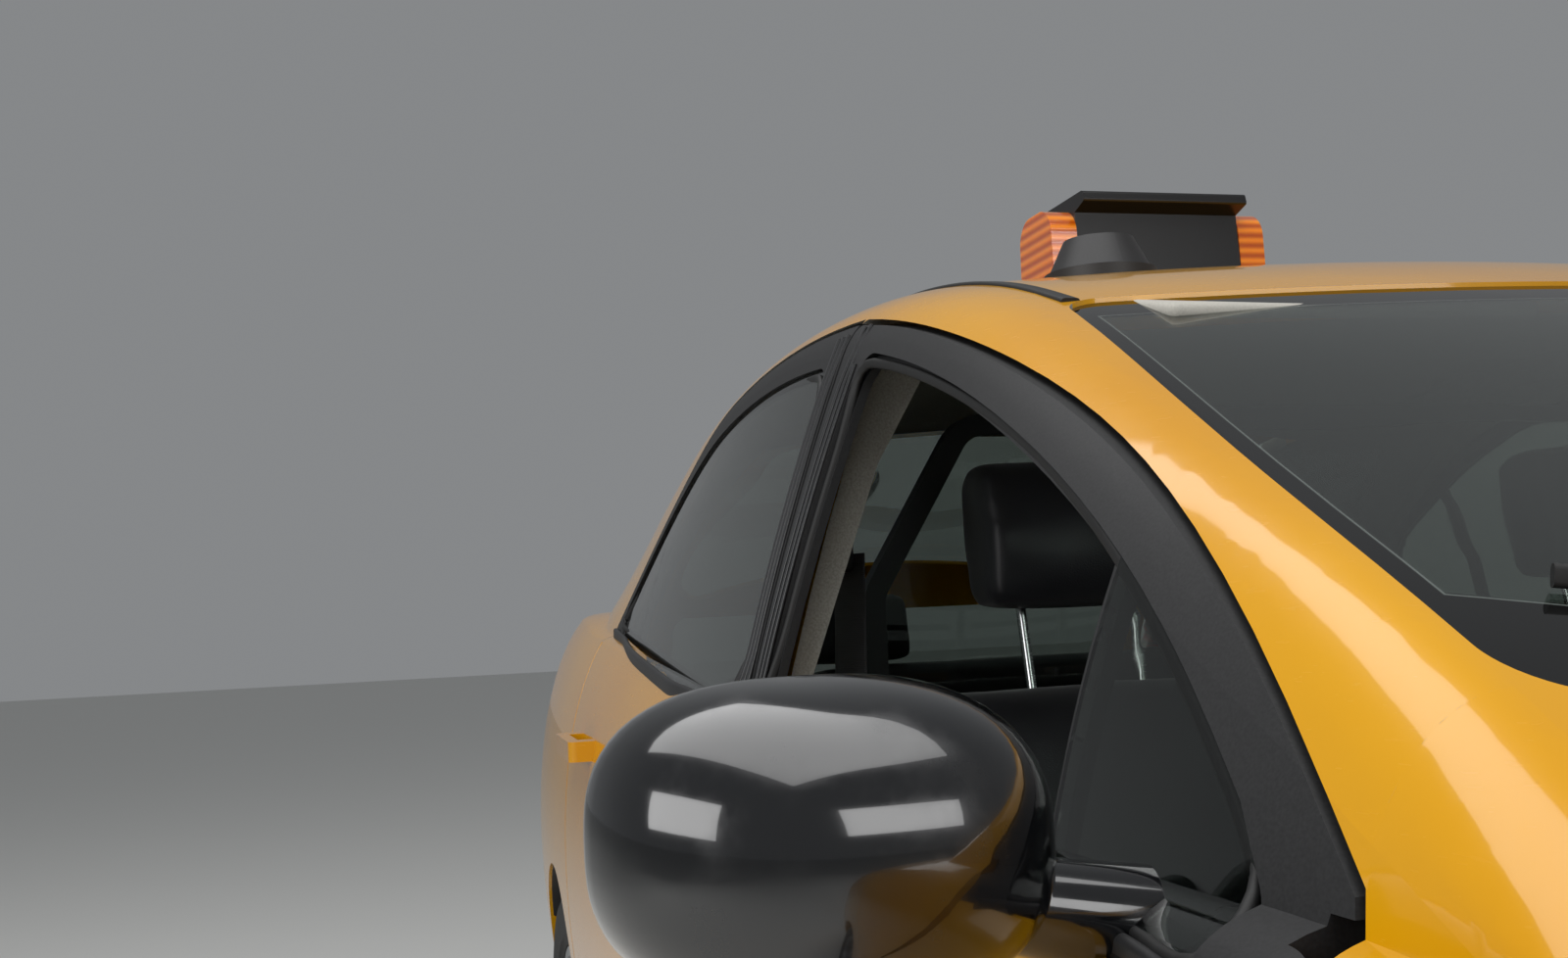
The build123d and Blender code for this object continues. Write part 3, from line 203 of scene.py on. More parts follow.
def door_paint(end):
    """Yellow outer skin up to the belt line, black frame above it and vinyl inside."""
    start, height, slope = BELTS[end]
    material = material_of(f"{end}_door_yellow_skin_and_black_frame", Coat_Roughness=0.08)
    colour, rough = yellow_coat(material)
    xyz = axes(material)
    station = math_of(material, "SUBTRACT", FRONT_AXLE_X - start, xyz["X"])
    belt = math_of(material, "ADD", math_of(material, "MULTIPLY", station, slope), height)
    above = math_of(material, "GREATER_THAN", math_of(material, "SUBTRACT", xyz["Z"], belt), 0.0)
    inner = ramp(material, outer_side(material), 1.0, 0.0)
    dark = math_of(material, "MAXIMUM", above, inner)
    fine = ramp(material, noise(material, 520.0, 2.0), 0.3, 0.7)
    black = blend_colour(material, fine, linear("161617"), linear("222223"))
    feed(material, "Base Color", blend_colour(material, dark, colour, black))
    matte = math_of(material, "MULTIPLY", dark, 0.58)
    feed(material, "Roughness", math_of(material, "MAXIMUM", rough, matte))
    feed(material, "Coat Weight", ramp(material, dark, 1.0, 0.0, 0.0, CLEAR_COAT))
    bumped(material, noise(material, 260.0, 2.0), 0.04, 0.0004)
    return material


for end in ("front", "rear"):
    dress(door_paint(end), f"door_{end}_left", f"door_{end}_right")

# Glass: laminated windscreen and tempered side windows, lightly tinted, with a fired black border printed
# round the windscreen's inner edge.


def glass_of(name, tint):
    """Clear glass with a tint and faint wiping streaks."""
    material = material_of(name, Base_Color=linear(tint), IOR=1.46, Transmission_Weight=1.0)
    streaks = ramp(material, noise(material, 9.0, 4.0, 0.6, (1, 1, 3)), 0.5, 0.85, 0.0, 0.05)
    feed(material, "Roughness", streaks)
    return material


side_glass = glass_of("tinted_side_glass", "9FA8A2")
dark_glass = glass_of("privacy_rear_glass", "7C8580")
dress(side_glass, "glass_front_left", "glass_front_right", "glass_rear_left", "glass_rear_right")
dress(dark_glass, "tailgate_glass")
dress(glass_of("clear_partition_sheet", "E4E8E4"), "partition_pane")


SCREEN_TINT = "A9B4AD"


def screen_glass():
    """Windscreen glass with its black border, drawn from the pane's plan outline."""
    material = glass_of("laminated_windscreen_glass", SCREEN_TINT)
    xyz = axes(material)
    station = math_of(material, "SUBTRACT", FRONT_AXLE_X, xyz["X"])
    across = math_of(material, "ABSOLUTE", xyz["Y"])
    square = math_of(material, "MULTIPLY", across, across)
    side = math_of(material, "ADD", across, math_of(material, "MULTIPLY", station, 0.1719))
    side = ramp(material, side, 0.744, 0.746)
    head = math_of(material, "SUBTRACT", station, math_of(material, "MULTIPLY", square, 0.177))
    head = ramp(material, head, 1.008, 1.010)
    foot = math_of(material, "SUBTRACT", station, math_of(material, "MULTIPLY", square, 0.405))
    foot = ramp(material, foot, 0.372, 0.370)
    border = math_of(material, "MAXIMUM", math_of(material, "MAXIMUM", side, head), foot)
    feed(material, "Base Color", blend_colour(material, border, linear(SCREEN_TINT), linear("060606")))
    feed(material, "Transmission Weight", ramp(material, border, 1.0, 0.0))
    return material


dress(screen_glass(), "windscreen")

# Moulded black plastic and rubber: seals, mouldings, cowl, grille, sign body and small trims. Each has a
# fine moulded grain; rubber is duller than plastic.


def moulded(name, light, dark, rough, grain=0.25, scale=700.0):
    """A moulded surface of two near shades with a fine grain."""
    material = material_of(name, Roughness=rough)
    speckle = ramp(material, noise(material, scale, 2.0), 0.3, 0.7)
    patch = ramp(material, noise(material, 5.0, 3.0), 0.35, 0.7)
    halves = [math_of(material, "MULTIPLY", part, 0.5) for part in (speckle, patch)]
    share = math_of(material, "ADD", *halves)
    feed(material, "Base Color", blend_colour(material, share, linear(dark), linear(light)))
    bumped(material, noise(material, scale, 2.0), grain, 0.0003)
    return material


grained_plastic = moulded("grained_black_plastic", "29292A", "19191A", 0.5)
seal_rubber = moulded("black_seal_rubber", "1B1B1B", "101010", 0.62, 0.15)
satin_trim = moulded("satin_black_pillar_trim", "222224", "141415", 0.36, 0.12)
dress(grained_plastic, "cowl_panel", "grille", "antenna_puck", "fuel_tank")
dress(moulded("satin_black_sign_hood", "1A1A1B", "0E0E0F", 0.3, 0.1), "roof_sign")
dress(moulded("dark_grey_dashboard_vinyl", "343436", "242425", 0.6, 0.5, 340.0),
      "dashboard", "steering_wheel")


def fit(piece, body, material, angle=40):
    """Finishes a piece: shading, normals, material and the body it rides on."""
    bpy.ops.object.select_all(action="DESELECT")
    piece.select_set(True)
    bpy.context.view_layer.objects.active = piece
    bpy.ops.object.mode_set(mode="EDIT")
    bpy.ops.mesh.select_all(action="SELECT")
    bpy.ops.mesh.normals_make_consistent(inside=False)
    bpy.ops.object.mode_set(mode="OBJECT")
    bpy.ops.object.transform_apply(location=True, rotation=True, scale=True)
    bpy.ops.object.shade_smooth_by_angle(angle=math.radians(angle))
    piece.data.materials.clear()
    piece.data.materials.append(material)
    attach(piece, body)
    return piece


def strip(name, points, half_width, half_thickness, tilt=0.0, closed=False):
    """A moulded strip along points: a rounded ribbon, upright unless tilted."""
    bpy.ops.object.select_all(action="DESELECT")
    bpy.ops.curve.primitive_bezier_curve_add()
    piece = bpy.context.object
    piece.name = name
    curve = piece.data
    curve.splines.clear()
    spline = curve.splines.new("NURBS")
    spline.points.add(len(points) - 1)
    for knot, point in zip(spline.points, points):
        knot.co = (*point, 1.0)
        knot.tilt = tilt
    spline.order_u = 3
    spline.use_endpoint_u = not closed
    spline.use_cyclic_u = closed
    spline.resolution_u = 4
    curve.dimensions = "3D"
    curve.twist_mode = "Z_UP"
    curve.extrude = max(half_width - half_thickness, 0.0)
    curve.bevel_depth = half_thickness
    curve.bevel_resolution = 3
    curve.use_fill_caps = True
    bpy.ops.object.convert(target="MESH")
    return bpy.context.object


def on_side(node, station, z, side, lift=0.0):
    """Point on a node's outer face at a station and a height, lifted off it a little."""
    start = Vector((FRONT_AXLE_X - station, side * 1.4, z))
    hit, point, normal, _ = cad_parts[node].ray_cast(start, Vector((0, -side, 0)))
    return point + normal * lift if hit else None


def on_top(node, station, y, lift=0.0):
    """Point on a node's upper face at a station and a distance to the left."""
    start = Vector((FRONT_AXLE_X - station, y, 2.2))
    hit, point, normal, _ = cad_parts[node].ray_cast(start, Vector((0, 0, -1)))
    return point + normal * lift if hit else None


def arc_through(start, via, end, count):
    """Points along the arc through three points."""
    (ax, ay), (bx, by), (cx, cy) = start, via, end
    d = 2 * (ax * (by - cy) + bx * (cy - ay) + cx * (ay - by))
    sa, sb, sc = ax * ax + ay * ay, bx * bx + by * by, cx * cx + cy * cy
    ox = (sa * (by - cy) + sb * (cy - ay) + sc * (ay - by)) / d
    oy = (sa * (cx - bx) + sb * (ax - cx) + sc * (bx - ax)) / d
    radius = math.hypot(ax - ox, ay - oy)
    turn_from, turn_to = math.atan2(ay - oy, ax - ox), math.atan2(cy - oy, cx - ox)
    return [(ox + radius * math.cos(turn_from + (turn_to - turn_from) * i / count),
             oy + radius * math.sin(turn_from + (turn_to - turn_from) * i / count)) for i in range(count + 1)]


def line_between(start, end, count):
    """Points along the straight line between two points."""
    return [(start[0] + (end[0] - start[0]) * i / count, start[1] + (end[1] - start[1]) * i / count)
            for i in range(count + 1)]


# Belt mouldings: a black rubber-lipped strip on each door at the foot of its window, with a rounded end.
BELT_RUNS = {"front": ((0.470, 0.940), (1.425, 0.986)), "rear": ((1.450, 0.993), (2.555, 1.078))}
for side, hand in ((-1, "right"), (1, "left")):
    for end, (start, finish) in BELT_RUNS.items():
        door = f"door_{end}_{hand}"
        points = [on_side(door, s, z - 0.006, side, 0.001) for s, z in line_between(start, finish, 14)]
        belt = strip(f"belt_moulding_{end}_{hand}", [p for p in points if p], 0.011, 0.004)
        fit(belt, door, grained_plastic)

# Window channels: the rubber run that lines each window opening in the door frame. Each outline is a list of
# runs, straight or along an arc, given as (station, z).


def joined(*runs):
    """One closed outline from runs that each start where the last one ends."""
    return [point for run in runs for point in run[:-1]]


FRONT_WINDOW = joined(line_between((1.383, 0.991), (0.505, 0.947), 10),
                      line_between((0.505, 0.947), (0.560, 1.0), 2),
                      arc_through((0.560, 1.0), (0.940, 1.213), (1.360, 1.346), 14),
                      line_between((1.360, 1.346), (1.383, 0.991), 5))
REAR_WINDOW = joined(line_between((2.520, 1.086), (1.492, 1.001), 10),
                     line_between((1.492, 1.001), (1.492, 1.352), 5),
                     arc_through((1.492, 1.352), (1.720, 1.362), (2.0, 1.342), 6),
                     arc_through((2.0, 1.342), (2.32, 1.236), (2.520, 1.086), 8))
for side, hand in ((-1, "right"), (1, "left")):
    for end, outline in (("front", FRONT_WINDOW), ("rear", REAR_WINDOW)):
        door = f"door_{end}_{hand}"
        middle = Vector([sum(p[axis] for p in outline) / len(outline) for axis in (0, 1)])
        points = []
        for s, z in outline:
            away = (Vector((s, z)) - middle).normalized() * 0.006
            points.append(on_side(door, s + away.x, z + away.y, side))
        channel = strip(f"window_channel_{end}_{hand}", [p for p in points if p], 0.005, 0.0035, closed=True)
        fit(channel, door, seal_rubber)

# Centre pillar trims: ribbed black appliques on the two door frames that meet there.
PILLAR_RIBS = {"front": (1.396, 1.410, 1.424), "rear": (1.451, 1.464, 1.477)}
RIB_LEAN = {"front": -0.018, "rear": 0.0}
RIB_FOOT_Z = 1.006
RIB_RISE = 0.385
for side, hand in ((-1, "right"), (1, "left")):
    for end, stations in PILLAR_RIBS.items():
        door = f"door_{end}_{hand}"
        for number, station in enumerate(stations):
            points = [on_side(door, station + RIB_LEAN[end] * i / 9, RIB_FOOT_Z + RIB_RISE * i / 9, side,
                              0.0005) for i in range(10)]
            rib = strip(f"pillar_rib_{end}_{hand}_{number}", [p for p in points if p], 0.0052, 0.0022,
                        math.pi / 2)
            fit(rib, door, satin_trim)

# Roof ditch mouldings: a dark rubber strip in the joint between the roof panel and each side panel.
DITCH_STATIONS = (1.112, 2.470)
for side, hand in ((-1, "right"), (1, "left")):
    points = []
    for i in range(25):
        station = DITCH_STATIONS[0] + (DITCH_STATIONS[1] - DITCH_STATIONS[0]) * i / 24
        y = 0.566 - 0.018 * i / 24
        points.append(on_top("roof_panel", station, side * (y - 0.012)))
    points = [Vector((p.x, p.y + side * 0.010, p.z - 0.0015)) for p in points if p]
    moulding = strip(f"roof_ditch_moulding_{hand}", points, 0.009, 0.0035, math.pi / 2)
    fit(moulding, "root", seal_rubber)

# Lamps: clear-lensed headlamps over dark bowls, red tail lamps with ribs, and the sign's ribbed amber ends.
# The clear cover is drawn over its dark bowl with two bright reflectors and a frosted turn lamp behind it.
headlamp = material_of("clear_headlamp_cover_over_bowl", Coat_Weight=1.0, Coat_Roughness=0.03)


def ball_share(material, x, y, z, near, far):
    """1 within a distance of a point mirrored to both sides, 0 beyond it."""
    xyz = axes(material)
    gaps = (math_of(material, "SUBTRACT", xyz["X"], x),
            math_of(material, "SUBTRACT", math_of(material, "ABSOLUTE", xyz["Y"]), y),
            math_of(material, "SUBTRACT", xyz["Z"], z))
    squares = [math_of(material, "MULTIPLY", gap, gap) for gap in gaps]
    total = math_of(material, "ADD", math_of(material, "ADD", squares[0], squares[1]), squares[2])
    return ramp(material, math_of(material, "SQRT", total), far, near)


REFLECTORS = ((2.035, 0.560, 0.712, 0.058), (1.945, 0.655, 0.716, 0.046))
clouding = ramp(headlamp, noise(headlamp, 8.0, 2.0), 0.3, 0.7)
bowl = blend_colour(headlamp, clouding, linear("3C4146"), linear("565C61"))
bright = 0.0
for x, y, z, size in REFLECTORS:
    ring = ball_share(headlamp, x, y, z, size + 0.004, size + 0.008)
    bowl = blend_colour(headlamp, ring, bowl, linear("16181A"))
    lit = ball_share(headlamp, x, y, z, size - 0.006, size - 0.001)
    bowl = blend_colour(headlamp, lit, bowl, linear("C9CFD3"))
    bulb = ball_share(headlamp, x, y, z, size * 0.30, size * 0.36)
    bowl = blend_colour(headlamp, bulb, bowl, linear("6A7176"))
    bright = math_of(headlamp, "MAXIMUM", bright, lit)
turn_lamp = ball_share(headlamp, 1.80, 0.765, 0.735, 0.060, 0.072)
bowl = blend_colour(headlamp, turn_lamp, bowl, linear("C4823C"))
feed(headlamp, "Base Color", bowl)
feed(headlamp, "Metallic", math_of(headlamp, "MULTIPLY", bright, 0.9))
feed(headlamp, "Roughness", ramp(headlamp, bright, 0.0, 1.0, 0.16, 0.1))
dress(headlamp, "headlamps")


def ribbed_lens(name, light, dark, pitch, axis):
    """Coloured lens plastic with ribs moulded at a pitch along an axis."""
    material = material_of(name, Roughness=0.14, Coat_Weight=1.0, Coat_Roughness=0.04, Subsurface_Weight=0.25,
                           Subsurface_Scale=0.02)
    along = math_of(material, "MULTIPLY", axes(material)[axis], 2 * math.pi / pitch)
    wave = ramp(material, math_of(material, "SINE", along), -1.0, 1.0)
    feed(material, "Base Color", blend_colour(material, wave, linear(dark), linear(light)))
    bumped(material, wave, 0.6, 0.002)
    return material


dress(ribbed_lens("ribbed_amber_lens", "F08A18", "B4500A", 0.016, "Z"), "sign_lamps")
dress(ribbed_lens("ribbed_red_lens", "B01512", "6E0A0A", 0.02, "Z"), "tail_lamps")

# Mirror housings: glossy black moulded shells on a short arm, a little dusty on top. Each is a rounded form cut
# flat at the back, with a recess there for its pane.
mirror_shell = material_of("glossy_black_mirror_shell", Base_Color=linear("08090C"), Coat_Weight=1.0,
                           Coat_Roughness=0.03)
film = ramp(mirror_shell, noise(mirror_shell, 22.0, 6.0, 0.65), 0.45, 0.75, 0.12, 0.34)
feed(mirror_shell, "Roughness", film)
bumped(mirror_shell, noise(mirror_shell, 120.0, 2.0), 0.02, 0.0005)
MIRROR_REAR_X = 0.647
MIRROR_CENTRE = (0.679, 0.946, 1.001)
MIRROR_HALF = (0.084, 0.107, 0.0735)
RECESS_RIM = 0.012
RECESS_DEPTH = 0.007
ARM_FOOT = (0.705, 0.792, 0.950)
ARM_TIP = (0.700, 0.900, 0.972)
for side, hand in ((-1, "right"), (1, "left")):
    bpy.ops.object.select_all(action="DESELECT")
    bpy.ops.mesh.primitive_uv_sphere_add(segments=64, ring_count=40, radius=1.0)
    housing = bpy.context.object
    housing.name = f"mirror_housing_{hand}"
    for vertex in housing.data.vertices:
        x, y, z = vertex.co
        squared = (abs(x) ** 2.2 + abs(y) ** 2.7 + abs(z) ** 2.7) ** (-1 / 2.6)
        x, y, z = (value * squared * half for value, half in zip((x, y, z), MIRROR_HALF))
        forward_share = max(x, 0.0) / MIRROR_HALF[0]
        vertex.co = (MIRROR_CENTRE[0] + x,
                     side * MIRROR_CENTRE[1] - side * 0.016 * forward_share + y,
                     MIRROR_CENTRE[2] - 0.010 * forward_share + z)
    bpy.ops.object.mode_set(mode="EDIT")
    bpy.ops.mesh.select_all(action="SELECT")
    bpy.ops.mesh.bisect(plane_co=(MIRROR_REAR_X, 0, 0), plane_no=(1, 0, 0), use_fill=True, clear_inner=True)
    bpy.ops.mesh.inset(thickness=RECESS_RIM)
    bpy.ops.mesh.extrude_region_move(TRANSFORM_OT_translate={"value": (RECESS_DEPTH, 0, 0)})
    bpy.ops.object.mode_set(mode="OBJECT")
    fit(housing, f"door_front_{hand}", mirror_shell, 50)
    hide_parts(f"mirror_{hand}")
    foot = Vector((ARM_FOOT[0], side * ARM_FOOT[1], ARM_FOOT[2]))
    reach = Vector((ARM_TIP[0], side * ARM_TIP[1], ARM_TIP[2])) - foot
    bpy.ops.object.select_all(action="DESELECT")
    bpy.ops.mesh.primitive_cone_add(vertices=32, radius1=0.027, radius2=0.020, depth=reach.length,
                                    location=foot + reach / 2,
                                    rotation=reach.to_track_quat("Z", "Y").to_euler())
    arm = bpy.context.object
    arm.name = f"mirror_arm_{hand}"
    fit(arm, f"door_front_{hand}", mirror_shell)

# Running gear: rough steel and iron under the floor, silver wheels, tyres and the exhaust.


def rough_metal(name, light, dark, rough, metallic=0.6):
    """Bare or painted metal with stains that dull it."""
    material = material_of(name, Metallic=metallic)
    stain = ramp(material, noise(material, 14.0, 6.0, 0.65), 0.35, 0.7)
    feed(material, "Base Color", blend_colour(material, stain, linear(dark), linear(light)))
    feed(material, "Roughness", ramp(material, stain, 0.0, 1.0, rough + 0.2, rough))
    bumped(material, noise(material, 90.0, 4.0), 0.2, 0.0006)
    return material


dress(rough_metal("dusty_floor_steel", "4A4944", "2B2A28", 0.6, 0.2), "floor_pan")
dress(rough_metal("grey_suspension_steel", "3C3C3B", "242322", 0.5),
      "front_structure", "front_subframe", "rear_axle", "drive_shafts")
dress(rough_metal("cast_iron_with_rust", "4B4038", "2A2523", 0.6),
      "knuckle_left", "knuckle_right", "engine_block")
dress(rough_metal("dull_exhaust_steel", "6A6560", "3E3834", 0.4, 0.9), "exhaust")
dress(rough_metal("silver_wheel_paint", "A7A9AA", "8B8D8E", 0.3, 0.7),
      "wheel_front_left", "wheel_front_right", "wheel_rear_left", "wheel_rear_right")
dress(moulded("matte_black_partition_frame", "202021", "141415", 0.5), "partition_frame")
dress(moulded("blank_plate_enamel", "D8D3C2", "CFC9B6", 0.4, 0.05), "number_plates")

# Tyres: moulded rubber with four grooves round the tread, cross grooves at the shoulders and a rim guard.
# The section is drawn once, spun about the axle and cut, and the same tyre stands at each corner.
TYRE_RADIUS = 0.317
WHEEL_Y = 0.762
REAR_AXLE_X = -1.395
WHEELS = {"front_left": (FRONT_AXLE_X, 1), "front_right": (FRONT_AXLE_X, -1),
          "rear_left": (REAR_AXLE_X, 1), "rear_right": (REAR_AXLE_X, -1)}
HALF_SECTION = [(0.1925, 0.0), (0.1925, 0.0728), (0.2042, 0.0785), (0.2050, 0.0862), (0.2160, 0.0905),
                (0.2190, 0.0935), (0.2240, 0.0925), (0.2520, 0.0972), (0.2780, 0.0955), (0.2980, 0.0862),
                (0.3085, 0.0785), (0.3150, 0.0660), (0.3165, 0.0500), (0.3095, 0.0490), (0.3095, 0.0420),
                (0.3168, 0.0410), (0.3168, 0.0190), (0.3095, 0.0180), (0.3095, 0.0110), (0.3168, 0.0100),
                (0.3168, 0.0)]
section = HALF_SECTION + [(r, -w) for r, w in reversed(HALF_SECTION[1:-1])]
TREAD_STEPS = 144
TREAD_DEPTH = 0.005
bpy.ops.object.select_all(action="DESELECT")
bpy.ops.mesh.primitive_circle_add(vertices=len(section), radius=0.1)
tyre_master = bpy.context.object
for vertex, (radius, width) in zip(tyre_master.data.vertices, section):
    vertex.co = (0, width, radius)
bpy.ops.object.mode_set(mode="EDIT")
bpy.ops.mesh.select_all(action="SELECT")
bpy.ops.mesh.spin(steps=TREAD_STEPS, angle=2 * math.pi, center=(0, 0, 0), axis=(0, 1, 0))
bpy.ops.mesh.select_all(action="SELECT")
bpy.ops.mesh.remove_doubles(threshold=0.00005)
bpy.ops.mesh.normals_make_consistent(inside=False)
bpy.ops.mesh.select_all(action="DESELECT")
bpy.ops.object.mode_set(mode="OBJECT")
for face in tyre_master.data.polygons:
    centre = face.center
    radius = math.hypot(centre.x, centre.z)
    step = int((math.atan2(centre.z, centre.x) + math.pi) / (2 * math.pi) * TREAD_STEPS)
    shoulder = 0.0500 < abs(centre.y) < 0.0790 and radius > 0.306
    rib = 0.0195 < abs(centre.y) < 0.0405 and radius > 0.316
    face.select = (shoulder and step % 3 == 0) or (rib and step % 3 == 1)
bpy.ops.object.mode_set(mode="EDIT")
bpy.context.tool_settings.mesh_select_mode = (False, False, True)
bpy.ops.mesh.extrude_region_shrink_fatten(TRANSFORM_OT_shrink_fatten={"value": -TREAD_DEPTH})
bpy.ops.object.mode_set(mode="OBJECT")
tyre_black = moulded("tyre_rubber_with_road_dust", "2A2A29", "161616", 0.78, 0.4, 240.0)
for corner, (axle_x, side) in WHEELS.items():
    tyre = tyre_master.copy()
    tyre.data = tyre_master.data.copy()
    tyre.name = f"road_tyre_{corner}"
    bpy.context.collection.objects.link(tyre)
    tyre.location = (axle_x, side * WHEEL_Y, TYRE_RADIUS)
    end, hand = corner.split("_")
    fit(tyre, f"{end}_wheel_{hand}", tyre_black, 35)
    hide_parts(f"tyre_{corner}")
bpy.data.objects.remove(tyre_master)

# Wheel fixings: five plated nuts round a pressed centre cap on each wheel.
plated_steel = material_of("plated_nut_steel", Base_Color=linear("9C9C9A"), Metallic=0.95)
feed(plated_steel, "Roughness", ramp(plated_steel, noise(plated_steel, 70.0, 4.0), 0.3, 0.7, 0.25, 0.5))
cap_plastic = moulded("silver_cap_plastic", "A3A5A6", "8C8E90", 0.32, 0.05)
NUT_COUNT = 5
NUT_CIRCLE = 0.050
HUB_PAD_Y = 0.036
for corner, (axle_x, side) in WHEELS.items():
    end, hand = corner.split("_")
    face_y = side * (WHEEL_Y + HUB_PAD_Y)
    for number in range(NUT_COUNT):
        angle = math.radians(90 + 360 / NUT_COUNT * number)
        seat = (axle_x + NUT_CIRCLE * math.cos(angle), face_y + side * 0.008,
                TYRE_RADIUS + NUT_CIRCLE * math.sin(angle))
        bpy.ops.object.select_all(action="DESELECT")
        bpy.ops.mesh.primitive_cylinder_add(vertices=6, radius=0.0105, depth=0.016, location=seat,
                                            rotation=(math.pi / 2, 0, 0))
        nut = bpy.context.object
        nut.name = f"wheel_nut_{corner}_{number}"
        bpy.ops.object.mode_set(mode="EDIT")
        bpy.ops.mesh.bevel(offset=0.0015, segments=2, affect="EDGES")
        bpy.ops.object.mode_set(mode="OBJECT")
        fit(nut, f"{end}_wheel_{hand}", plated_steel)
    bpy.ops.object.select_all(action="DESELECT")
    bpy.ops.mesh.primitive_cylinder_add(vertices=40, radius=0.0340, depth=0.014, rotation=(math.pi / 2, 0, 0),
                                        location=(axle_x, face_y + side * 0.0073, TYRE_RADIUS))
    cap = bpy.context.object
    cap.name = f"wheel_centre_cap_{corner}"
    bpy.ops.object.mode_set(mode="EDIT")
    bpy.ops.mesh.bevel(offset=0.004, segments=3, affect="EDGES")
    bpy.ops.object.mode_set(mode="OBJECT")
    fit(cap, f"{end}_wheel_{hand}", cap_plastic)

# Wipers: two painted steel arms from pivots on the cowl, each with a rubber blade parked along the foot of
# the windscreen.
WIPERS = {"left": ((0.275, 0.50), (0.585, 0.02)), "right": ((0.262, -0.10), (-0.03, -0.60))}
for hand, (pivot, (blade_from, blade_to)) in WIPERS.items():
    blade_points = []
    for i in range(13):
        y = blade_from + (blade_to - blade_from) * i / 12
        blade_points.append(on_top("windscreen", 0.405 + 0.36 * y * y, y, 0.0075))
    blade_points = [p for p in blade_points if p]
    blade = strip(f"wiper_blade_{hand}", blade_points, 0.006, 0.003)
    fit(blade, "root", seal_rubber)
    middle = blade_points[len(blade_points) // 2]
    foot = on_top("cowl_panel", *pivot, 0.012)
    rise = (foot + middle) / 2 + Vector((0, 0, 0.022))
    elbow = foot + Vector((-0.03, 0, 0.014))
    tip = middle + Vector((0, 0, 0.013))
    arm = strip(f"wiper_arm_{hand}", [foot, elbow, rise, tip], 0.007, 0.0035, math.pi / 2)
    fit(arm, "root", satin_trim)
    bpy.ops.object.select_all(action="DESELECT")
    bpy.ops.mesh.primitive_cylinder_add(vertices=28, radius=0.014, depth=0.026, location=foot)
    cap = bpy.context.object
    cap.name = f"wiper_pivot_cap_{hand}"
    bpy.ops.object.mode_set(mode="EDIT")
    bpy.ops.mesh.bevel(offset=0.004, segments=3, affect="EDGES")
    bpy.ops.object.mode_set(mode="OBJECT")
    fit(cap, "root", grained_plastic)

# Mirror panes: silvered glass with a rounded outline, glued into each housing's rear recess.
silvered = material_of("silvered_mirror_glass", Base_Color=linear("D8DCDD"), Metallic=1.0, IOR=1.5)
feed(silvered, "Roughness", ramp(silvered, noise(silvered, 30.0, 5.0), 0.5, 0.8, 0.02, 0.12))
for side, hand in ((-1, "right"), (1, "left")):
    bpy.ops.object.select_all(action="DESELECT")
    bpy.ops.mesh.primitive_plane_add(size=1, rotation=(0, math.pi / 2, 0),
                                     location=(0.6485, side * MIRROR_CENTRE[1], MIRROR_CENTRE[2]))
    pane = bpy.context.object
    pane.scale = (0.122, 0.190, 1)
    pane.name = f"mirror_pane_{hand}"
    bpy.ops.object.transform_apply(location=True, rotation=True, scale=True)
    bpy.ops.object.mode_set(mode="EDIT")
    bpy.ops.mesh.select_all(action="SELECT")
    bpy.ops.mesh.bevel(offset=0.048, segments=8, affect="VERTICES")
    bpy.ops.mesh.extrude_region_move(TRANSFORM_OT_translate={"value": (0.004, 0, 0)})
    bpy.ops.object.mode_set(mode="OBJECT")
    fit(pane, f"door_front_{hand}", silvered)

# Wheel arch liners: thin black moulded shells over each wheel, cut from drums round the axles. At the back they
# stand as humps beside the boot floor, and at the front they leave the strut's slot open.
STRUT_SLOT = 0.115
ARCH_REACH = 0.4
SKIN_DEPTH = 0.006
LINER_THICKNESS = 0.0025


def arch_liner(name, skin, axle_x, side, radius, near, far, x_span, z_from, capped=False):
    """Part of a thin drum round a wheel's axis, from near out along Y to just inside the skin."""
    bpy.ops.object.select_all(action="DESELECT")
    bpy.ops.mesh.primitive_cylinder_add(vertices=96, radius=radius, depth=far - near,
                                        end_fill_type="NGON" if capped else "NOTHING",
                                        location=(axle_x, side * (near + far) / 2, TYRE_RADIUS),
                                        rotation=(math.pi / 2, 0, 0))
    piece = bpy.context.object
    piece.name = name
    bpy.ops.object.transform_apply(location=True, rotation=True, scale=True)
    bpy.ops.object.mode_set(mode="EDIT")
    cuts = (((axle_x + x_span[0], 0, 0), (1, 0, 0)), ((axle_x + x_span[1], 0, 0), (-1, 0, 0)),
            ((0, 0, z_from), (0, 0, 1)), ((0, side * (far - 0.001), 0), (0, -side, 0)))
    for point, normal in cuts:
        bpy.ops.mesh.select_all(action="SELECT")
        bpy.ops.mesh.bisect(plane_co=point, plane_no=normal, clear_inner=True)
    bpy.ops.object.mode_set(mode="OBJECT")
    for vertex in piece.data.vertices:
        if abs(vertex.co.y) > far - 0.002:
            x = axle_x + (vertex.co.x - axle_x) * 1.04
            z = TYRE_RADIUS + (vertex.co.z - TYRE_RADIUS) * 1.04
            touch = on_side(skin, FRONT_AXLE_X - x, z, side)
            if touch:
                vertex.co.y = touch[1] - side * SKIN_DEPTH
    bpy.ops.object.modifier_add(type="SOLIDIFY")
    piece.modifiers[-1].thickness = LINER_THICKNESS
    bpy.ops.object.modifier_apply(modifier=piece.modifiers[-1].name)
    fit(piece, "root", grained_plastic)


